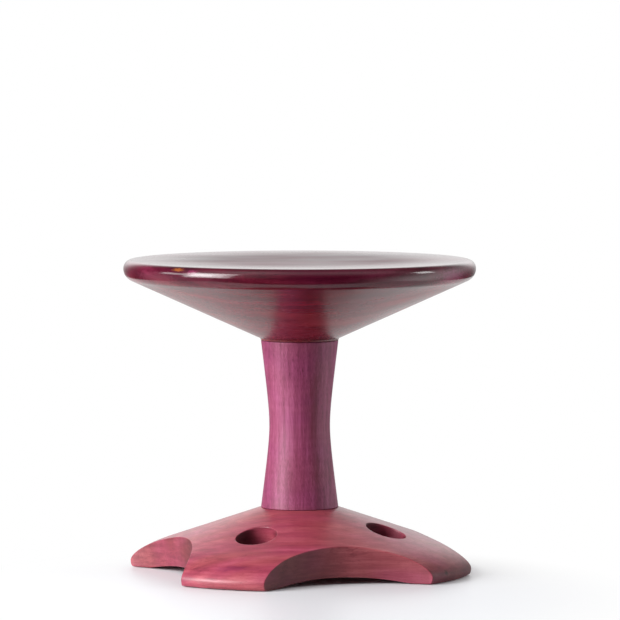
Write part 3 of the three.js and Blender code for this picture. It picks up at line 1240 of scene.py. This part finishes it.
class Graph:
    """A node tree, with short ways to add nodes to it."""

    def __init__(self, tree: bpy.types.NodeTree) -> None:
        """Keeps the tree that nodes are added to."""
        self.tree = tree

    def add(self, kind: str, values: Inputs | None = None, **settings: object) -> bpy.types.Node:
        """Adds a node.

        Args:
            kind: the node's type, without the leading ShaderNode.
            values: what each input holds, or the output that it is wired from.
            settings: the node's own settings.

        Returns:
            The node.
        """
        node = self.tree.nodes.new("ShaderNode" + kind)
        for name, value in settings.items():
            setattr(node, name, value)
        self.feed(node, values or {})
        return node

    def group(self, tree: bpy.types.NodeTree, values: Inputs) -> bpy.types.Node:
        """Returns a Group node that uses a node group."""
        node = self.add("Group", node_tree=tree)
        self.feed(node, values)
        return node

    def feed(self, node: bpy.types.Node, values: Inputs) -> None:
        """Sets a node's inputs, or wires them from outputs."""
        for key, value in values.items():
            if isinstance(value, bpy.types.NodeSocket):
                self.tree.links.new(value, node.inputs[key])
            else:
                node.inputs[key].default_value = value

    def scaled(self, vector: object, factor: object) -> bpy.types.NodeSocket:
        """Returns a vector times a number."""
        return self.add("VectorMath", {0: vector, "Scale": factor}, operation="SCALE").outputs["Vector"]

    def math(self, operation: str, *values: object, clamp: bool = False) -> bpy.types.NodeSocket:
        """Returns the result of a Math node."""
        return self.add("Math", dict(enumerate(values)), operation=operation, use_clamp=clamp).outputs[0]

    def vector(self, operation: str, *values: object, result: str = "Vector") -> bpy.types.NodeSocket:
        """Returns the result of a Vector Math node."""
        return self.add("VectorMath", dict(enumerate(values)), operation=operation).outputs[result]

    def noise(self, vector: object, scale: float, **inputs: float) -> bpy.types.Node:
        """Returns a Noise Texture node."""
        settings = {name.capitalize(): value for name, value in inputs.items()}
        return self.add("TexNoise", {"Vector": vector, "Scale": scale, **settings})

    def grained(self, vector: object, repeat: Repeat, **inputs: float) -> bpy.types.NodeSocket:
        """Returns a noise that repeats differently along and across the grain."""
        return self.noise(self.vector("MULTIPLY", vector, repeat.value), 1.0, **inputs).outputs[0]

    def blend(self, share: object, first: object, second: object, mode: str = "MIX") -> bpy.types.NodeSocket:
        """Returns two colours blended by a share."""
        node = self.add("Mix", {0: share, 6: first, 7: second}, data_type="RGBA", blend_type=mode)
        return node.outputs[2]

    def smooth(self, value: object, low_end: float, high_end: float) -> bpy.types.NodeSocket:
        """Returns 0 below one end and 1 above the other, with a smooth step between."""
        values = {"Value": value, "From Min": low_end, "From Max": high_end}
        return self.add("MapRange", values, interpolation_type="SMOOTHSTEP").outputs["Result"]

    def span(self, value: object, start: float, end: float) -> bpy.types.NodeSocket:
        """Returns a value from 0 to 1 stretched from start to end."""
        return self.add("MapRange", {"Value": value, "To Min": start, "To Max": end}).outputs["Result"]


def new_group(
    name: str, inputs: dict[str, object], outputs: Sequence[str]
) -> tuple[Graph, bpy.types.Node, bpy.types.Node]:
    """Makes an empty shader node group.

    Args:
        name: the group's name.
        inputs: each input's name and default, a number or a vector.
        outputs: the outputs' names, which are all numbers.

    Returns:
        The group's graph, and its input and output nodes.
    """
    tree = bpy.data.node_groups.new(name, "ShaderNodeTree")
    for label, default in inputs.items():
        kind = "NodeSocketFloat" if isinstance(default, float) else "NodeSocketVector"
        tree.interface.new_socket(label, in_out="INPUT", socket_type=kind).default_value = default
    for label in outputs:
        tree.interface.new_socket(label, in_out="OUTPUT", socket_type="NodeSocketFloat")
    graph = Graph(tree)
    return graph, tree.nodes.new("NodeGroupInput"), tree.nodes.new("NodeGroupOutput")


def new_material(name: str) -> tuple[bpy.types.Material, Graph]:
    """Returns a new material with an empty graph, and the graph."""
    material = bpy.data.materials.new(name)
    material.use_nodes = True
    material.node_tree.nodes.clear()
    return material, Graph(material.node_tree)


def timber_group() -> bpy.types.NodeTree:
    """Builds the figure of a piece of timber whose grain runs along X.

    Bands are a noise of the distance from the pith, so they are unevenly wide. Streaks and fibres
    are noises stretched along the grain, lines run where such a noise is at its middle, ripples run
    across the grain, pores are short dashes and clouds are broad.

    Returns:
        The group.
    """
    name = "timber_figure"
    if name in bpy.data.node_groups:
        return bpy.data.node_groups[name]
    graph, given, made = new_group(name, {
        "Vector": (0.0, 0.0, 0.0),
        "Pith": (0.0, 0.0, 0.0),
        "Band Width": 0.01,
        "Waver": 0.006,
        "Streak Width": 0.004,
    }, ("Bands", "Streaks", "Lines", "Fibres", "Pores", "Ripples", "Clouds"))
    place = given.outputs["Vector"]
    slow = graph.noise(graph.vector("MULTIPLY", place, (0.4, 1.0, 1.0)), 13.0, detail=2.0)
    shift = graph.vector("SUBTRACT", slow.outputs["Color"], (0.5, 0.5, 0.5))
    moved = graph.vector("ADD", place, graph.scaled(shift, given.outputs["Waver"]))
    across = graph.vector("MULTIPLY", graph.vector("SUBTRACT", moved, given.outputs["Pith"]), (0.0, 1.0, 1.0))
    distance = graph.vector("LENGTH", across, result="Value")
    along = graph.add("SeparateXYZ", {0: moved}).outputs["X"]
    layer = graph.add("CombineXYZ", {
        "X": graph.math("MULTIPLY", along, 2.5),
        "Y": graph.math("DIVIDE", distance, given.outputs["Band Width"]),
    })
    bands = graph.noise(layer.outputs[0], 1.0, detail=2.0, roughness=0.55)
    fineness = graph.math("DIVIDE", 1.0, given.outputs["Streak Width"])
    stretched = graph.scaled(graph.vector("MULTIPLY", moved, (0.035, 0.22, 1.0)), fineness)
    streaks = graph.noise(stretched, 1.0, detail=3.0, roughness=0.6)
    crossing = graph.math("SUBTRACT", graph.grained(moved, Repeat.LINES, detail=1.0), 0.5)
    broken = graph.smooth(graph.grained(place, Repeat.BREAKS), 0.42, 0.62)
    lines = graph.smooth(graph.math("ABSOLUTE", crossing), 0.035, 0.0)
    pores = graph.grained(moved, Repeat.PORES, detail=1.0)
    graph.feed(made, {
        "Bands": bands.outputs[0],
        "Streaks": streaks.outputs[0],
        "Lines": graph.math("MULTIPLY", lines, broken),
        "Fibres": graph.grained(moved, Repeat.FIBRES, detail=2.0, roughness=0.6),
        "Pores": graph.smooth(pores, 0.62, 0.74),
        "Ripples": graph.grained(moved, Repeat.RIPPLES, detail=2.0, distortion=0.4),
        "Clouds": graph.grained(place, Repeat.CLOUDS, detail=2.0),
    })
    return graph.tree


def lacquer_group() -> bpy.types.NodeTree:
    """Builds the masks of a seat's lacquer: sprayed over the rim, and worn by sitters in the middle.

    Returns:
        The group.
    """
    name = "lacquer_masks"
    if name in bpy.data.node_groups:
        return bpy.data.node_groups[name]
    graph, given, made = new_group(name, {
        "Vector": (0.0, 0.0, 0.0),
        "Sprayed From": 322 * MM,
        "Sprayed To": 344 * MM,
        "Worn To": 90 * MM,
        "Whole From": 212 * MM,
    }, ("Sprayed", "Worn"))
    parts = graph.add("SeparateXYZ", {0: given.outputs["Vector"]})
    across = graph.vector("MULTIPLY", given.outputs["Vector"], (1.0, 1.0, 0.0))
    radius = graph.vector("LENGTH", across, result="Value")
    ends = given.outputs
    graph.feed(made, {
        "Sprayed": graph.smooth(parts.outputs["Z"], ends["Sprayed From"], ends["Sprayed To"]),
        "Worn": graph.smooth(radius, ends["Whole From"], ends["Worn To"]),
    })
    return graph.tree


def mark_or_shade_group() -> bpy.types.NodeTree:
    """Builds the mask of one mark in the wood or one patch of painted shade: an egg shape whose edge a noise
    makes ragged.

    Returns:
        The group.
    """
    name = "wood_mark"
    if name in bpy.data.node_groups:
        return bpy.data.node_groups[name]
    graph, given, made = new_group(name, {
        "Vector": (0.0, 0.0, 0.0),
        "Grain Vector": (0.0, 0.0, 0.0),
        "Middle": (0.0, 0.0, 0.0),
        "Half Size": (0.01, 0.01, 0.01),
    }, ("Mask",))
    offset = graph.vector("SUBTRACT", given.outputs["Vector"], given.outputs["Middle"])
    shrunk = graph.vector("DIVIDE", offset, given.outputs["Half Size"])
    reached = graph.vector("LENGTH", shrunk, result="Value")
    ragged = graph.grained(given.outputs["Grain Vector"], Repeat.RAGGED_EDGE, detail=2.0)
    edge = graph.math("MULTIPLY_ADD", graph.math("SUBTRACT", ragged, 0.5), 1.6, reached)
    graph.feed(made, {"Mask": graph.smooth(edge, 1.0, 0.2)})
    return graph.tree


class Grain(Enum):
    """Which way a piece's grain runs, as the turn that lays it along X."""

    LEVEL = (0.0, 0.0, 0.0)
    UPRIGHT = (0.0, math.pi / 2, 0.0)


@dataclass(frozen=True)
class MarkOrShade:
    """A patch of colour at one place in a piece of wood: a streak of sap or mineral, a small knot, or painted
    shade.
    """

    middle: tuple[float, float, float]
    half_size: tuple[float, float, float]
    colour: Colour
    strength: float


@dataclass(frozen=True)
class Timber:
    """The purple-red wood of one piece: its colours, its figure and its polish.

    The shares and depths say how much each part of the figure lightens or darkens the wood. The
    wear and the roughness share say how much clouds and fibres change the roughness.
    """

    name: str
    slot: str
    dark: Colour
    middle: Colour
    light: Colour
    roughness: float
    lacquered: bool = False
    lacquer_roughness: float = 0.1
    worn_roughness: float = 0.37
    wear: float = 0.9
    roughness_share: float = 0.12
    reflection: float = 0.5
    grain: Grain = Grain.LEVEL
    pith: tuple[float, float, float] = (0.0, 0.02, -0.12)
    band_width: float = 11.0 * MM
    waver: float = 9.0 * MM
    streak_width: float = 3.0 * MM
    band_share: float = 0.8
    streak_share: float = 0.7
    line_depth: float = 0.22
    fibre_share: float = 0.3
    ripple_share: float = 0.2
    cloud_share: float = 0.4
    pore_depth: float = 0.2
    drift: float = 0.6
    # End grain darkens faces along the fibres. The same mask paints shade on the sawn walls inside the rim.
    # The fibres are turned off the figure's grain so that walls facing right and front, which lie in shade,
    # darken most.
    end_grain_and_wall_shade: float = 0.0
    end_roughness: float = 0.2
    end_grain_and_shade_turn: float = math.radians(24.0)
    wall_shade_share: float = 0.45
    wall_shade_inside: tuple[float, float] = (199.0 * MM, 192.0 * MM)
    bump: float = 0.02 * MM
    # Marks in the wood, and patches of painted shade.
    marks_and_shade: tuple[MarkOrShade, ...] = ()

    def shade(self, graph: Graph, figure: bpy.types.Node) -> bpy.types.NodeSocket:
        """Returns how light the wood is, from 0 to 1, as the weighted sum of its figure."""
        shade: object = 0.5
        for label, share in (
            ("Bands", self.band_share),
            ("Streaks", self.streak_share),
            ("Fibres", self.fibre_share),
            ("Ripples", self.ripple_share),
            ("Clouds", self.cloud_share),
        ):
            centred = graph.math("SUBTRACT", figure.outputs[label], 0.5)
            shade = graph.math("MULTIPLY_ADD", centred, share, shade)
        shade = graph.math("MULTIPLY_ADD", figure.outputs["Lines"], -self.line_depth, shade)
        return graph.math("MULTIPLY_ADD", figure.outputs["Pores"], -self.pore_depth, shade, clamp=True)

    def colour(self, graph: Graph, place: object, laid: object, shade: object) -> bpy.types.NodeSocket:
        """Gives the wood's colour: its shade between three tones, drifting in hue, with its marks and its
        patches of painted shade.

        Args:
            graph: the material's graph.
            place: the object's own coordinates.
            laid: the same, turned so that the grain runs along X.
            shade: how light the wood is, from 0 to 1.

        Returns:
            The colour.
        """
        ramp = graph.add("ValToRGB", {"Fac": shade})
        stops = ramp.color_ramp.elements
        stops[0].position, stops[0].color = 0.15, (*self.dark, 1.0)
        stops[1].position, stops[1].color = 0.85, (*self.light, 1.0)
        stops.new(0.5).color = (*self.middle, 1.0)
        slow = graph.smooth(graph.grained(place, Repeat.HUES, detail=1.0), 0.35, 0.65)
        hue = graph.blend(slow, PURPLER, REDDER)
        colour = graph.blend(self.drift, ramp.outputs["Color"], hue, mode="MULTIPLY")
        # Marks in the wood and patches of painted shade are blended over the colour.
        for mark in self.marks_and_shade:
            spot = graph.group(mark_or_shade_group(), {
                "Vector": place,
                "Grain Vector": laid,
                "Middle": mark.middle,
                "Half Size": mark.half_size,
            })
            share = graph.math("MULTIPLY", spot.outputs["Mask"], mark.strength)
            colour = graph.blend(share, colour, (*mark.colour, 1.0))
        return colour

    def end_grain_and_wall_shade_mask(self, graph: Graph, place: object) -> bpy.types.NodeSocket:
        """Gives how much a place is darkened as end grain and as painted shade: all of it where it faces
        along the fibres.

        Args:
            graph: the material's graph.
            place: the object's own coordinates.

        Returns:
            The mask, which a sawn wall inside the rim has in part, whichever way it faces, as painted shade.
        """
        facing = graph.add("TexCoord").outputs["Normal"]
        # The fibres here are turned off the figure's grain, so that the darkening falls most on walls that
        # face right and front, which lie in shade: painted shade.
        fibre = (math.cos(self.end_grain_and_shade_turn), -math.sin(self.end_grain_and_shade_turn), 0.0)
        along = graph.vector("DOT_PRODUCT", facing, fibre, result="Value")
        ends = graph.smooth(graph.math("ABSOLUTE", along), 0.3, 0.95)
        # Painted shade: upright sawn walls inside the rim are darkened in part, whichever way they face.
        upright = graph.vector("DOT_PRODUCT", facing, (0.0, 0.0, 1.0), result="Value")
        upright = graph.smooth(graph.math("ABSOLUTE", upright), 0.35, 0.1)
        radius = graph.vector("LENGTH", graph.vector("MULTIPLY", place, (1.0, 1.0, 0.0)), result="Value")
        inside = graph.smooth(radius, *self.wall_shade_inside)
        cut = graph.math("MULTIPLY", graph.math("MULTIPLY", upright, inside), self.wall_shade_share)
        return graph.math("MULTIPLY", graph.math("MAXIMUM", ends, cut), self.end_grain_and_wall_shade)

    def material(self) -> bpy.types.Material:
        """Returns the wood as a material."""
        material, graph = new_material(self.name)
        place = graph.add("TexCoord").outputs["Object"]
        laid = graph.add("Mapping", {"Vector": place, "Rotation": self.grain.value}).outputs["Vector"]
        figure = graph.group(timber_group(), {
            "Vector": laid,
            "Pith": self.pith,
            "Band Width": self.band_width,
            "Waver": self.waver,
            "Streak Width": self.streak_width,
        })
        rough: object = self.roughness
        colour = self.colour(graph, place, laid, self.shade(graph, figure))
        if self.lacquered:
            lacquer = graph.group(lacquer_group(), {"Vector": place})
            whole = graph.span(lacquer.outputs["Worn"], self.lacquer_roughness, self.worn_roughness)
            rough = graph.add("Mix", {0: lacquer.outputs["Sprayed"], 2: self.roughness, 3: whole}).outputs[0]
            colour = graph.blend(lacquer.outputs["Sprayed"], colour, LACQUER_TINT, mode="MULTIPLY")
            cloudy = graph.math("SUBTRACT", figure.outputs["Clouds"], 0.5)
            rough = graph.math("MULTIPLY", rough, graph.math("MULTIPLY_ADD", cloudy, self.wear, 1.0))
        if self.end_grain_and_wall_shade:
            # End grain and the painted shade on the sawn walls darken the colour and raise the roughness.
            ends = self.end_grain_and_wall_shade_mask(graph, place)
            colour = graph.blend(ends, colour, END_GRAIN_AND_WALL_SHADE, mode="MULTIPLY")
            rough = graph.math("MULTIPLY_ADD", ends, self.end_roughness, rough)
        fine = graph.math("SUBTRACT", figure.outputs["Fibres"], 0.5)
        rough = graph.math("MULTIPLY_ADD", fine, self.roughness_share, rough)
        relief = graph.math("MULTIPLY_ADD", figure.outputs["Pores"], -1.0, figure.outputs["Fibres"])
        bump = graph.add("Bump", {"Height": relief, "Distance": self.bump, "Strength": 1.0})
        shader = graph.add("BsdfPrincipled", {
            "Base Color": colour,
            "Roughness": rough,
            "Specular IOR Level": self.reflection,
            "Normal": bump.outputs["Normal"],
        })
        graph.add("OutputMaterial", {"Surface": shader.outputs["BSDF"]})
        return material


def srgb(red: int, green: int, blue: int) -> Colour:
    """Returns a colour given as it looks on a screen, from 0 to 255, in linear light."""
    shares = [value / 255.0 for value in (red, green, blue)]
    return tuple(s / 12.92 if s <= 0.04045 else ((s + 0.055) / 1.055) ** 2.4 for s in shares)


@dataclass(frozen=True)
class PlainFinish:
    """A finish with one colour that a fine and a coarse mottle vary, such as metal, beech or felt."""

    name: str
    slot: str
    colour: Colour
    second: Colour
    roughness: float
    metallic: float = 0.0
    fine_scale: float = 1800.0
    coarse_scale: float = 60.0
    stretch: tuple[float, float, float] = (1.0, 1.0, 1.0)
    relief: float = 0.02 * MM
    fuzz: float = 0.0
    unevenness: float = 0.3

    def material(self) -> bpy.types.Material:
        """Returns the finish as a material."""
        material, graph = new_material(self.name)
        place = graph.add("TexCoord").outputs["Object"]
        stretched = graph.vector("MULTIPLY", place, self.stretch)
        fine = graph.noise(stretched, self.fine_scale, detail=3.0, roughness=0.6)
        coarse = graph.noise(stretched, self.coarse_scale, detail=3.0, roughness=0.6)
        both = graph.math("MULTIPLY", graph.math("ADD", fine.outputs[0], coarse.outputs[0]), 0.5)
        share = graph.smooth(both, 0.35, 0.65)
        colour = graph.blend(share, (*self.colour, 1.0), (*self.second, 1.0))
        uneven = graph.math("SUBTRACT", coarse.outputs[0], 0.5)
        rough = graph.math("MULTIPLY_ADD", uneven, self.unevenness, self.roughness)
        bump = graph.add("Bump", {"Height": fine.outputs[0], "Distance": self.relief})
        shader = graph.add("BsdfPrincipled", {
            "Base Color": colour,
            "Roughness": rough,
            "Metallic": self.metallic,
            "Normal": bump.outputs["Normal"],
            "Sheen Weight": self.fuzz,
        })
        graph.add("OutputMaterial", {"Surface": shader.outputs["BSDF"]})
        return material


SEAT_WOOD = Timber(
    name="seat_lacquered_wood", slot="seat_wood",
    dark=srgb(80, 16, 27), middle=srgb(119, 28, 40), light=srgb(158, 52, 62),
    roughness=0.28, lacquered=True,
    streak_width=5.0 * MM, streak_share=0.5, line_depth=0.12,
    cloud_share=0.9, ripple_share=0.15, fibre_share=0.4,
    marks_and_shade=(
        MarkOrShade((-0.134, -0.145, 0.352), (0.011, 0.011, 0.0025), srgb(206, 112, 40), 0.85),
        MarkOrShade((-0.118, -0.160, 0.350), (0.009, 0.009, 0.0035), srgb(190, 60, 90), 0.6),
        MarkOrShade((0.169, -0.103, 0.342), (0.03, 0.04, 0.012), srgb(196, 90, 104), 0.7),
        MarkOrShade((-0.160, -0.115, 0.340), (0.05, 0.05, 0.012), srgb(168, 80, 80), 0.3),
    ),
)
PILLAR_WOOD = Timber(
    name="pillar_oiled_wood", slot="pillar_wood", grain=Grain.UPRIGHT,
    dark=srgb(98, 34, 60), middle=srgb(134, 57, 90), light=srgb(164, 84, 122),
    roughness=0.48, reflection=0.34, drift=0.3,
    band_share=0.5, streak_share=0.7, line_depth=0.06, fibre_share=0.7, ripple_share=0.2, cloud_share=0.2,
    # Both pillar patches are painted shade: a dark stripe down the whole front-right side, where the light
    # falls off, and a darker patch on the front of the lower taper.
    marks_and_shade=(
        MarkOrShade((0.0165, -0.032, 0.17), (0.008, 0.008, 0.3), srgb(104, 34, 52), 0.5),
        MarkOrShade((-0.004, -0.037, 0.1), (0.012, 0.014, 0.06), srgb(112, 38, 64), 0.35),
    ),
)
BASE_WOOD = Timber(
    name="base_oiled_wood", slot="base_wood",
    dark=srgb(122, 45, 60), middle=srgb(155, 65, 80), light=srgb(182, 92, 106),
    roughness=0.34, reflection=0.42, pith=(0.0, 0.38, -0.06), end_grain_and_wall_shade=1.0,
    waver=5.0 * MM, streak_width=3.5 * MM, band_share=0.5, streak_share=0.9,
    ripple_share=0.1, cloud_share=0.25,
    marks_and_shade=(
        MarkOrShade((0.164, -0.109, 0.0114), (0.004, 0.004, 0.004), srgb(60, 24, 24), 0.8),
        MarkOrShade((0.001, -0.076, 0.063), (0.032, 0.012, 0.012), srgb(130, 40, 54), 0.4),
        MarkOrShade((-0.072, -0.168, 0.0225), (0.05, 0.012, 0.004), srgb(116, 36, 72), 0.5),
    ),
)
BEECH = PlainFinish(
    "beech", "dowel_wood", srgb(214, 182, 138), srgb(196, 160, 114), 0.6,
    fine_scale=900.0, coarse_scale=200.0, stretch=(1.0, 1.0, 0.08),
)
STEEL = PlainFinish("zinced_steel", "steel", srgb(190, 192, 196), srgb(168, 171, 176), 0.32, metallic=1.0)
BRASS = PlainFinish("turned_brass", "brass", srgb(206, 170, 92), srgb(186, 148, 74), 0.3, metallic=1.0)
FELT = PlainFinish(
    "pressed_felt", "felt", srgb(82, 66, 60), srgb(60, 48, 44), 0.95,
    fine_scale=2600.0, relief=0.15 * MM, fuzz=0.6,
)


def towards(bearing: float, height: float) -> Vector:
    """Returns the direction of a light.

    Args:
        bearing: degrees from the camera's side round to the stool's left.
        height: degrees above the floor.

    Returns:
        The direction, one metre long.
    """
    turn, rise = math.radians(bearing), math.radians(height)
    return Vector((-math.sin(turn) * math.cos(rise), -math.cos(turn) * math.cos(rise), math.sin(rise)))


@dataclass(frozen=True)
class SoftBox:
    """A soft box on a stand, turned to face the stool."""

    name: str
    bearing: float
    height: float
    size: tuple[float, float]
    radiance: float
    distance: float = 2.2
    aimed_at: tuple[float, float, float] = (0.0, 0.0, 0.25)

    def build(self) -> None:
        """Adds the light, whose power is pi x its area x its radiance."""
        light = bpy.data.lights.new(self.name, "AREA")
        light.shape = "RECTANGLE"
        light.size, light.size_y = self.size
        light.energy = math.pi * self.size[0] * self.size[1] * self.radiance
        placed = bpy.data.objects.new(self.name, light)
        facing = towards(self.bearing, self.height)
        placed.location = Vector(self.aimed_at) + facing * self.distance
        placed.rotation_euler = facing.to_track_quat("Z", "Y").to_euler()
        bpy.context.scene.collection.objects.link(placed)


@dataclass(frozen=True)
class Glow:
    """A soft patch of the surroundings: radiance x max(d . axis, 0)^sharpness for a direction d."""

    bearing: float
    height: float
    sharpness: float
    radiance: float

    def add_to(self, graph: Graph, direction: object, before: object) -> bpy.types.NodeSocket:
        """Adds this patch's light to what was there before it.

        Args:
            graph: the world's graph.
            direction: the direction that is looked in.
            before: the light so far.

        Returns:
            The sum.
        """
        facing = graph.vector("DOT_PRODUCT", direction, towards(self.bearing, self.height), result="Value")
        share = graph.math("POWER", graph.math("MAXIMUM", facing, 0.0), self.sharpness)
        return graph.math("MULTIPLY_ADD", share, self.radiance, before)


@dataclass(frozen=True)
class Studio:
    """The camera, the pale floor and the soft light round the stool."""

    boxes: tuple[SoftBox, ...] = (
        SoftBox("key_edge", 61.0, 16.0, (1.4, 1.8), 5.5),
        SoftBox("key_middle", 62.0, 16.0, (1.0, 1.35), 6.0),
        SoftBox("key_core", 64.0, 16.0, (0.6, 0.8), 8.0),
        SoftBox("left_panel", 89.0, 15.0, (0.7, 0.5), 5.0),
        SoftBox("right_panel", -90.0, 25.0, (0.5, 0.5), 7.5),
    )
    glows: tuple[Glow, ...] = (
        Glow(0.0, 55.0, 10.0, 0.35),
        Glow(60.0, 55.0, 10.0, 1.4),
        Glow(180.0, 55.0, 10.0, 0.15),
        Glow(-60.0, 55.0, 10.0, 0.65),
        Glow(35.0, 14.0, 16.0, 0.5),
        Glow(155.0, 14.0, 16.0, 0.25),
        Glow(164.0, 17.0, 45.0, 0.8),
        Glow(-164.0, 17.0, 45.0, 0.9),
        Glow(180.0, 14.0, 16.0, 1.1),
        Glow(-155.0, 14.0, 16.0, 0.35),
        Glow(-125.0, 14.0, 16.0, 0.7),
        Glow(-100.0, 14.0, 16.0, 0.85),
        Glow(90.0, -20.0, 8.0, 0.6),
        Glow(-90.0, -20.0, 8.0, 2.2),
    )
    camera_place: tuple[float, float, float] = (0.01173, -5.42090, 0.65810)
    camera_pitch: float = math.radians(3.8018)
    lens: float = 277.894
    sensor: float = 36.0
    floor_half: float = 0.62
    floor_front: float = -0.8
    floor_back: float = 3.0
    paper_front: tuple[float, float] = (-0.38, -0.4)
    floor_colour: Colour = (0.785, 0.8, 0.83)
    paper_roughness: float = 0.4
    paper_reflection: float = 0.42
    fade_centre: tuple[float, float, float] = (0.0, -0.24, 0.0)
    fade_shape: tuple[float, float, float] = (1.25, 1.0, 1.0)
    fade_in_view: tuple[float, float] = (0.2, 0.5)
    fade_in_gloss: tuple[float, float] = (0.25, 0.8)
    shaded_under: tuple[float, float] = (0.185, 0.215)

    def camera(self) -> None:
        """Makes the camera at the photograph's place."""
        camera = bpy.data.cameras.new("camera")
        camera.lens, camera.sensor_width = self.lens, self.sensor
        placed = bpy.data.objects.new("camera", camera)
        placed.location = self.camera_place
        placed.rotation_euler = (math.pi / 2 - self.camera_pitch, 0.0, 0.0)
        bpy.context.scene.collection.objects.link(placed)
        bpy.context.scene.camera = placed

    def floor(self) -> None:
        """Makes the floor: it takes the shadow near the stool and fades into white far from it."""
        half, front, back = self.floor_half, self.floor_front, self.floor_back
        mesh = bpy.data.meshes.new("floor")
        corners = [(-half, front, 0.0), (half, front, 0.0), (half, back, 0.0), (-half, back, 0.0)]
        mesh.from_pydata(corners, [], [(0, 1, 2, 3)])
        material, graph = new_material("floor_paper")
        place = graph.add("TexCoord").outputs["Object"]
        offset = graph.vector("MULTIPLY", graph.vector("SUBTRACT", place, self.fade_centre), self.fade_shape)
        distance = graph.vector("LENGTH", offset, result="Value")
        rays = graph.add("LightPath")
        in_view = graph.math("MAXIMUM", rays.outputs["Is Camera Ray"], rays.outputs["Is Transmission Ray"])
        in_view = graph.math("MULTIPLY", graph.smooth(distance, *self.fade_in_view), in_view)
        from_axis = graph.vector("LENGTH", place, result="Value")
        in_view = graph.math("MULTIPLY", graph.smooth(from_axis, *self.shaded_under), in_view)
        in_gloss = graph.smooth(distance, *self.fade_in_gloss)
        in_gloss = graph.math("MULTIPLY", in_gloss, rays.outputs["Is Glossy Ray"])
        paper = graph.add("BsdfPrincipled", {
            "Base Color": (*self.floor_colour, 1.0),
            "Roughness": self.paper_roughness,
            "Specular IOR Level": self.paper_reflection,
        })
        white = graph.add("Emission", {"Color": WHITE, "Strength": 1.0})
        faded = graph.math("MAXIMUM", in_view, in_gloss)
        shader = graph.add("MixShader", {0: faded, 1: paper.outputs[0], 2: white.outputs[0]})
        in_front = graph.smooth(graph.add("SeparateXYZ", {0: place}).outputs["Y"], *self.paper_front)
        unseen = graph.math("SUBTRACT", 1.0, rays.outputs["Is Camera Ray"])
        gone = graph.add("BsdfTransparent")
        share = graph.math("MULTIPLY", in_front, unseen)
        shader = graph.add("MixShader", {0: share, 1: shader.outputs[0], 2: gone.outputs[0]})
        graph.add("OutputMaterial", {"Surface": shader.outputs[0]})
        mesh.materials.append(material)
        floor = bpy.data.objects.new("floor", mesh)
        bpy.context.scene.collection.objects.link(floor)

    def surroundings(self) -> None:
        """Makes what lies round the stage: white to the camera, and soft glows to everything else."""
        world = bpy.data.worlds.new("studio")
        bpy.context.scene.world = world
        world.use_nodes = True
        world.node_tree.nodes.clear()
        graph = Graph(world.node_tree)
        rays = graph.add("LightPath")
        seen = graph.math("MAXIMUM", rays.outputs["Is Camera Ray"], rays.outputs["Is Transmission Ray"])
        direction = graph.add("TexCoord").outputs["Generated"]
        glowing: object = 0.0
        for glow in self.glows:
            glowing = glow.add_to(graph, direction, glowing)
        strength = graph.add("Mix", {0: seen, 2: glowing, 3: 1.0}).outputs[0]
        background = graph.add("Background", {"Color": WHITE, "Strength": strength})
        graph.add("OutputWorld", {"Surface": background.outputs[0]})

    def build(self) -> None:
        """Makes all of it."""
        bpy.context.scene.view_settings.view_transform = "Standard"
        self.camera()
        self.floor()
        self.surroundings()
        for box in self.boxes:
            box.build()


def dress(piece: bpy.types.Object, nodes: Sequence[str], finish: Timber | PlainFinish) -> None:
    """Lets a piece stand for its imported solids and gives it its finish.

    Args:
        piece: the piece.
        nodes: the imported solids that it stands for.
        finish: its finish.
    """
    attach(piece, BODY)
    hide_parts(*nodes)
    material = bpy.data.materials.get(finish.name) or finish.material()
    piece.data.materials.append(material)
    LOG.info("%s stands for %s in %s", piece.name, ", ".join(nodes), finish.name)


def main() -> None:
    """Builds the pieces in order."""
    logging.basicConfig(level=logging.INFO, format="%(name)s: %(message)s")
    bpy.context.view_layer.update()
    end_radius = reach("pillar")
    joinery = Joinery(neck_radius=end_radius + 0.5 * MM)
    spigot = joinery.spigot_length
    seat = Seat(joinery, reach("seat"), low("seat"), high("seat"), high("seat_insert"))
    pillar = Pillar(joinery, low("pillar") + spigot, high("pillar") - spigot, end_radius)
    base = Base(joinery, reach("base"), low("base"), high("base"))
    dress(seat.build(), ["seat"], SEAT_WOOD)
    dress(pillar.build(), ["pillar"], PILLAR_WOOD)
    dress(base.build(), ["base"], BASE_WOOD)
    dress(TieRod(reach("tie_rod"), low("tie_rod"), high("tie_rod")).build(), ["tie_rod"], STEEL)
    dress(Nut(low("rod_nut"), high("rod_nut")).build(), ["rod_nut"], STEEL)
    dress(Washer(reach("rod_washer"), low("rod_washer"), high("rod_washer")).build(), ["rod_washer"], STEEL)
    insert = Insert(reach("seat_insert"), low("seat_insert"), high("seat_insert"))
    dress(insert.build(), ["seat_insert"], BRASS)
    for node in (*SEAT_DOWELS, *BASE_DOWELS):
        dress(Dowel(node).build(), [node], BEECH)
    for node in sorted(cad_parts):
        if node.startswith("glide_"):
            dress(Glide(node).build(), [node], FELT)
    Studio().build()


if __name__ == "__main__":
    main()
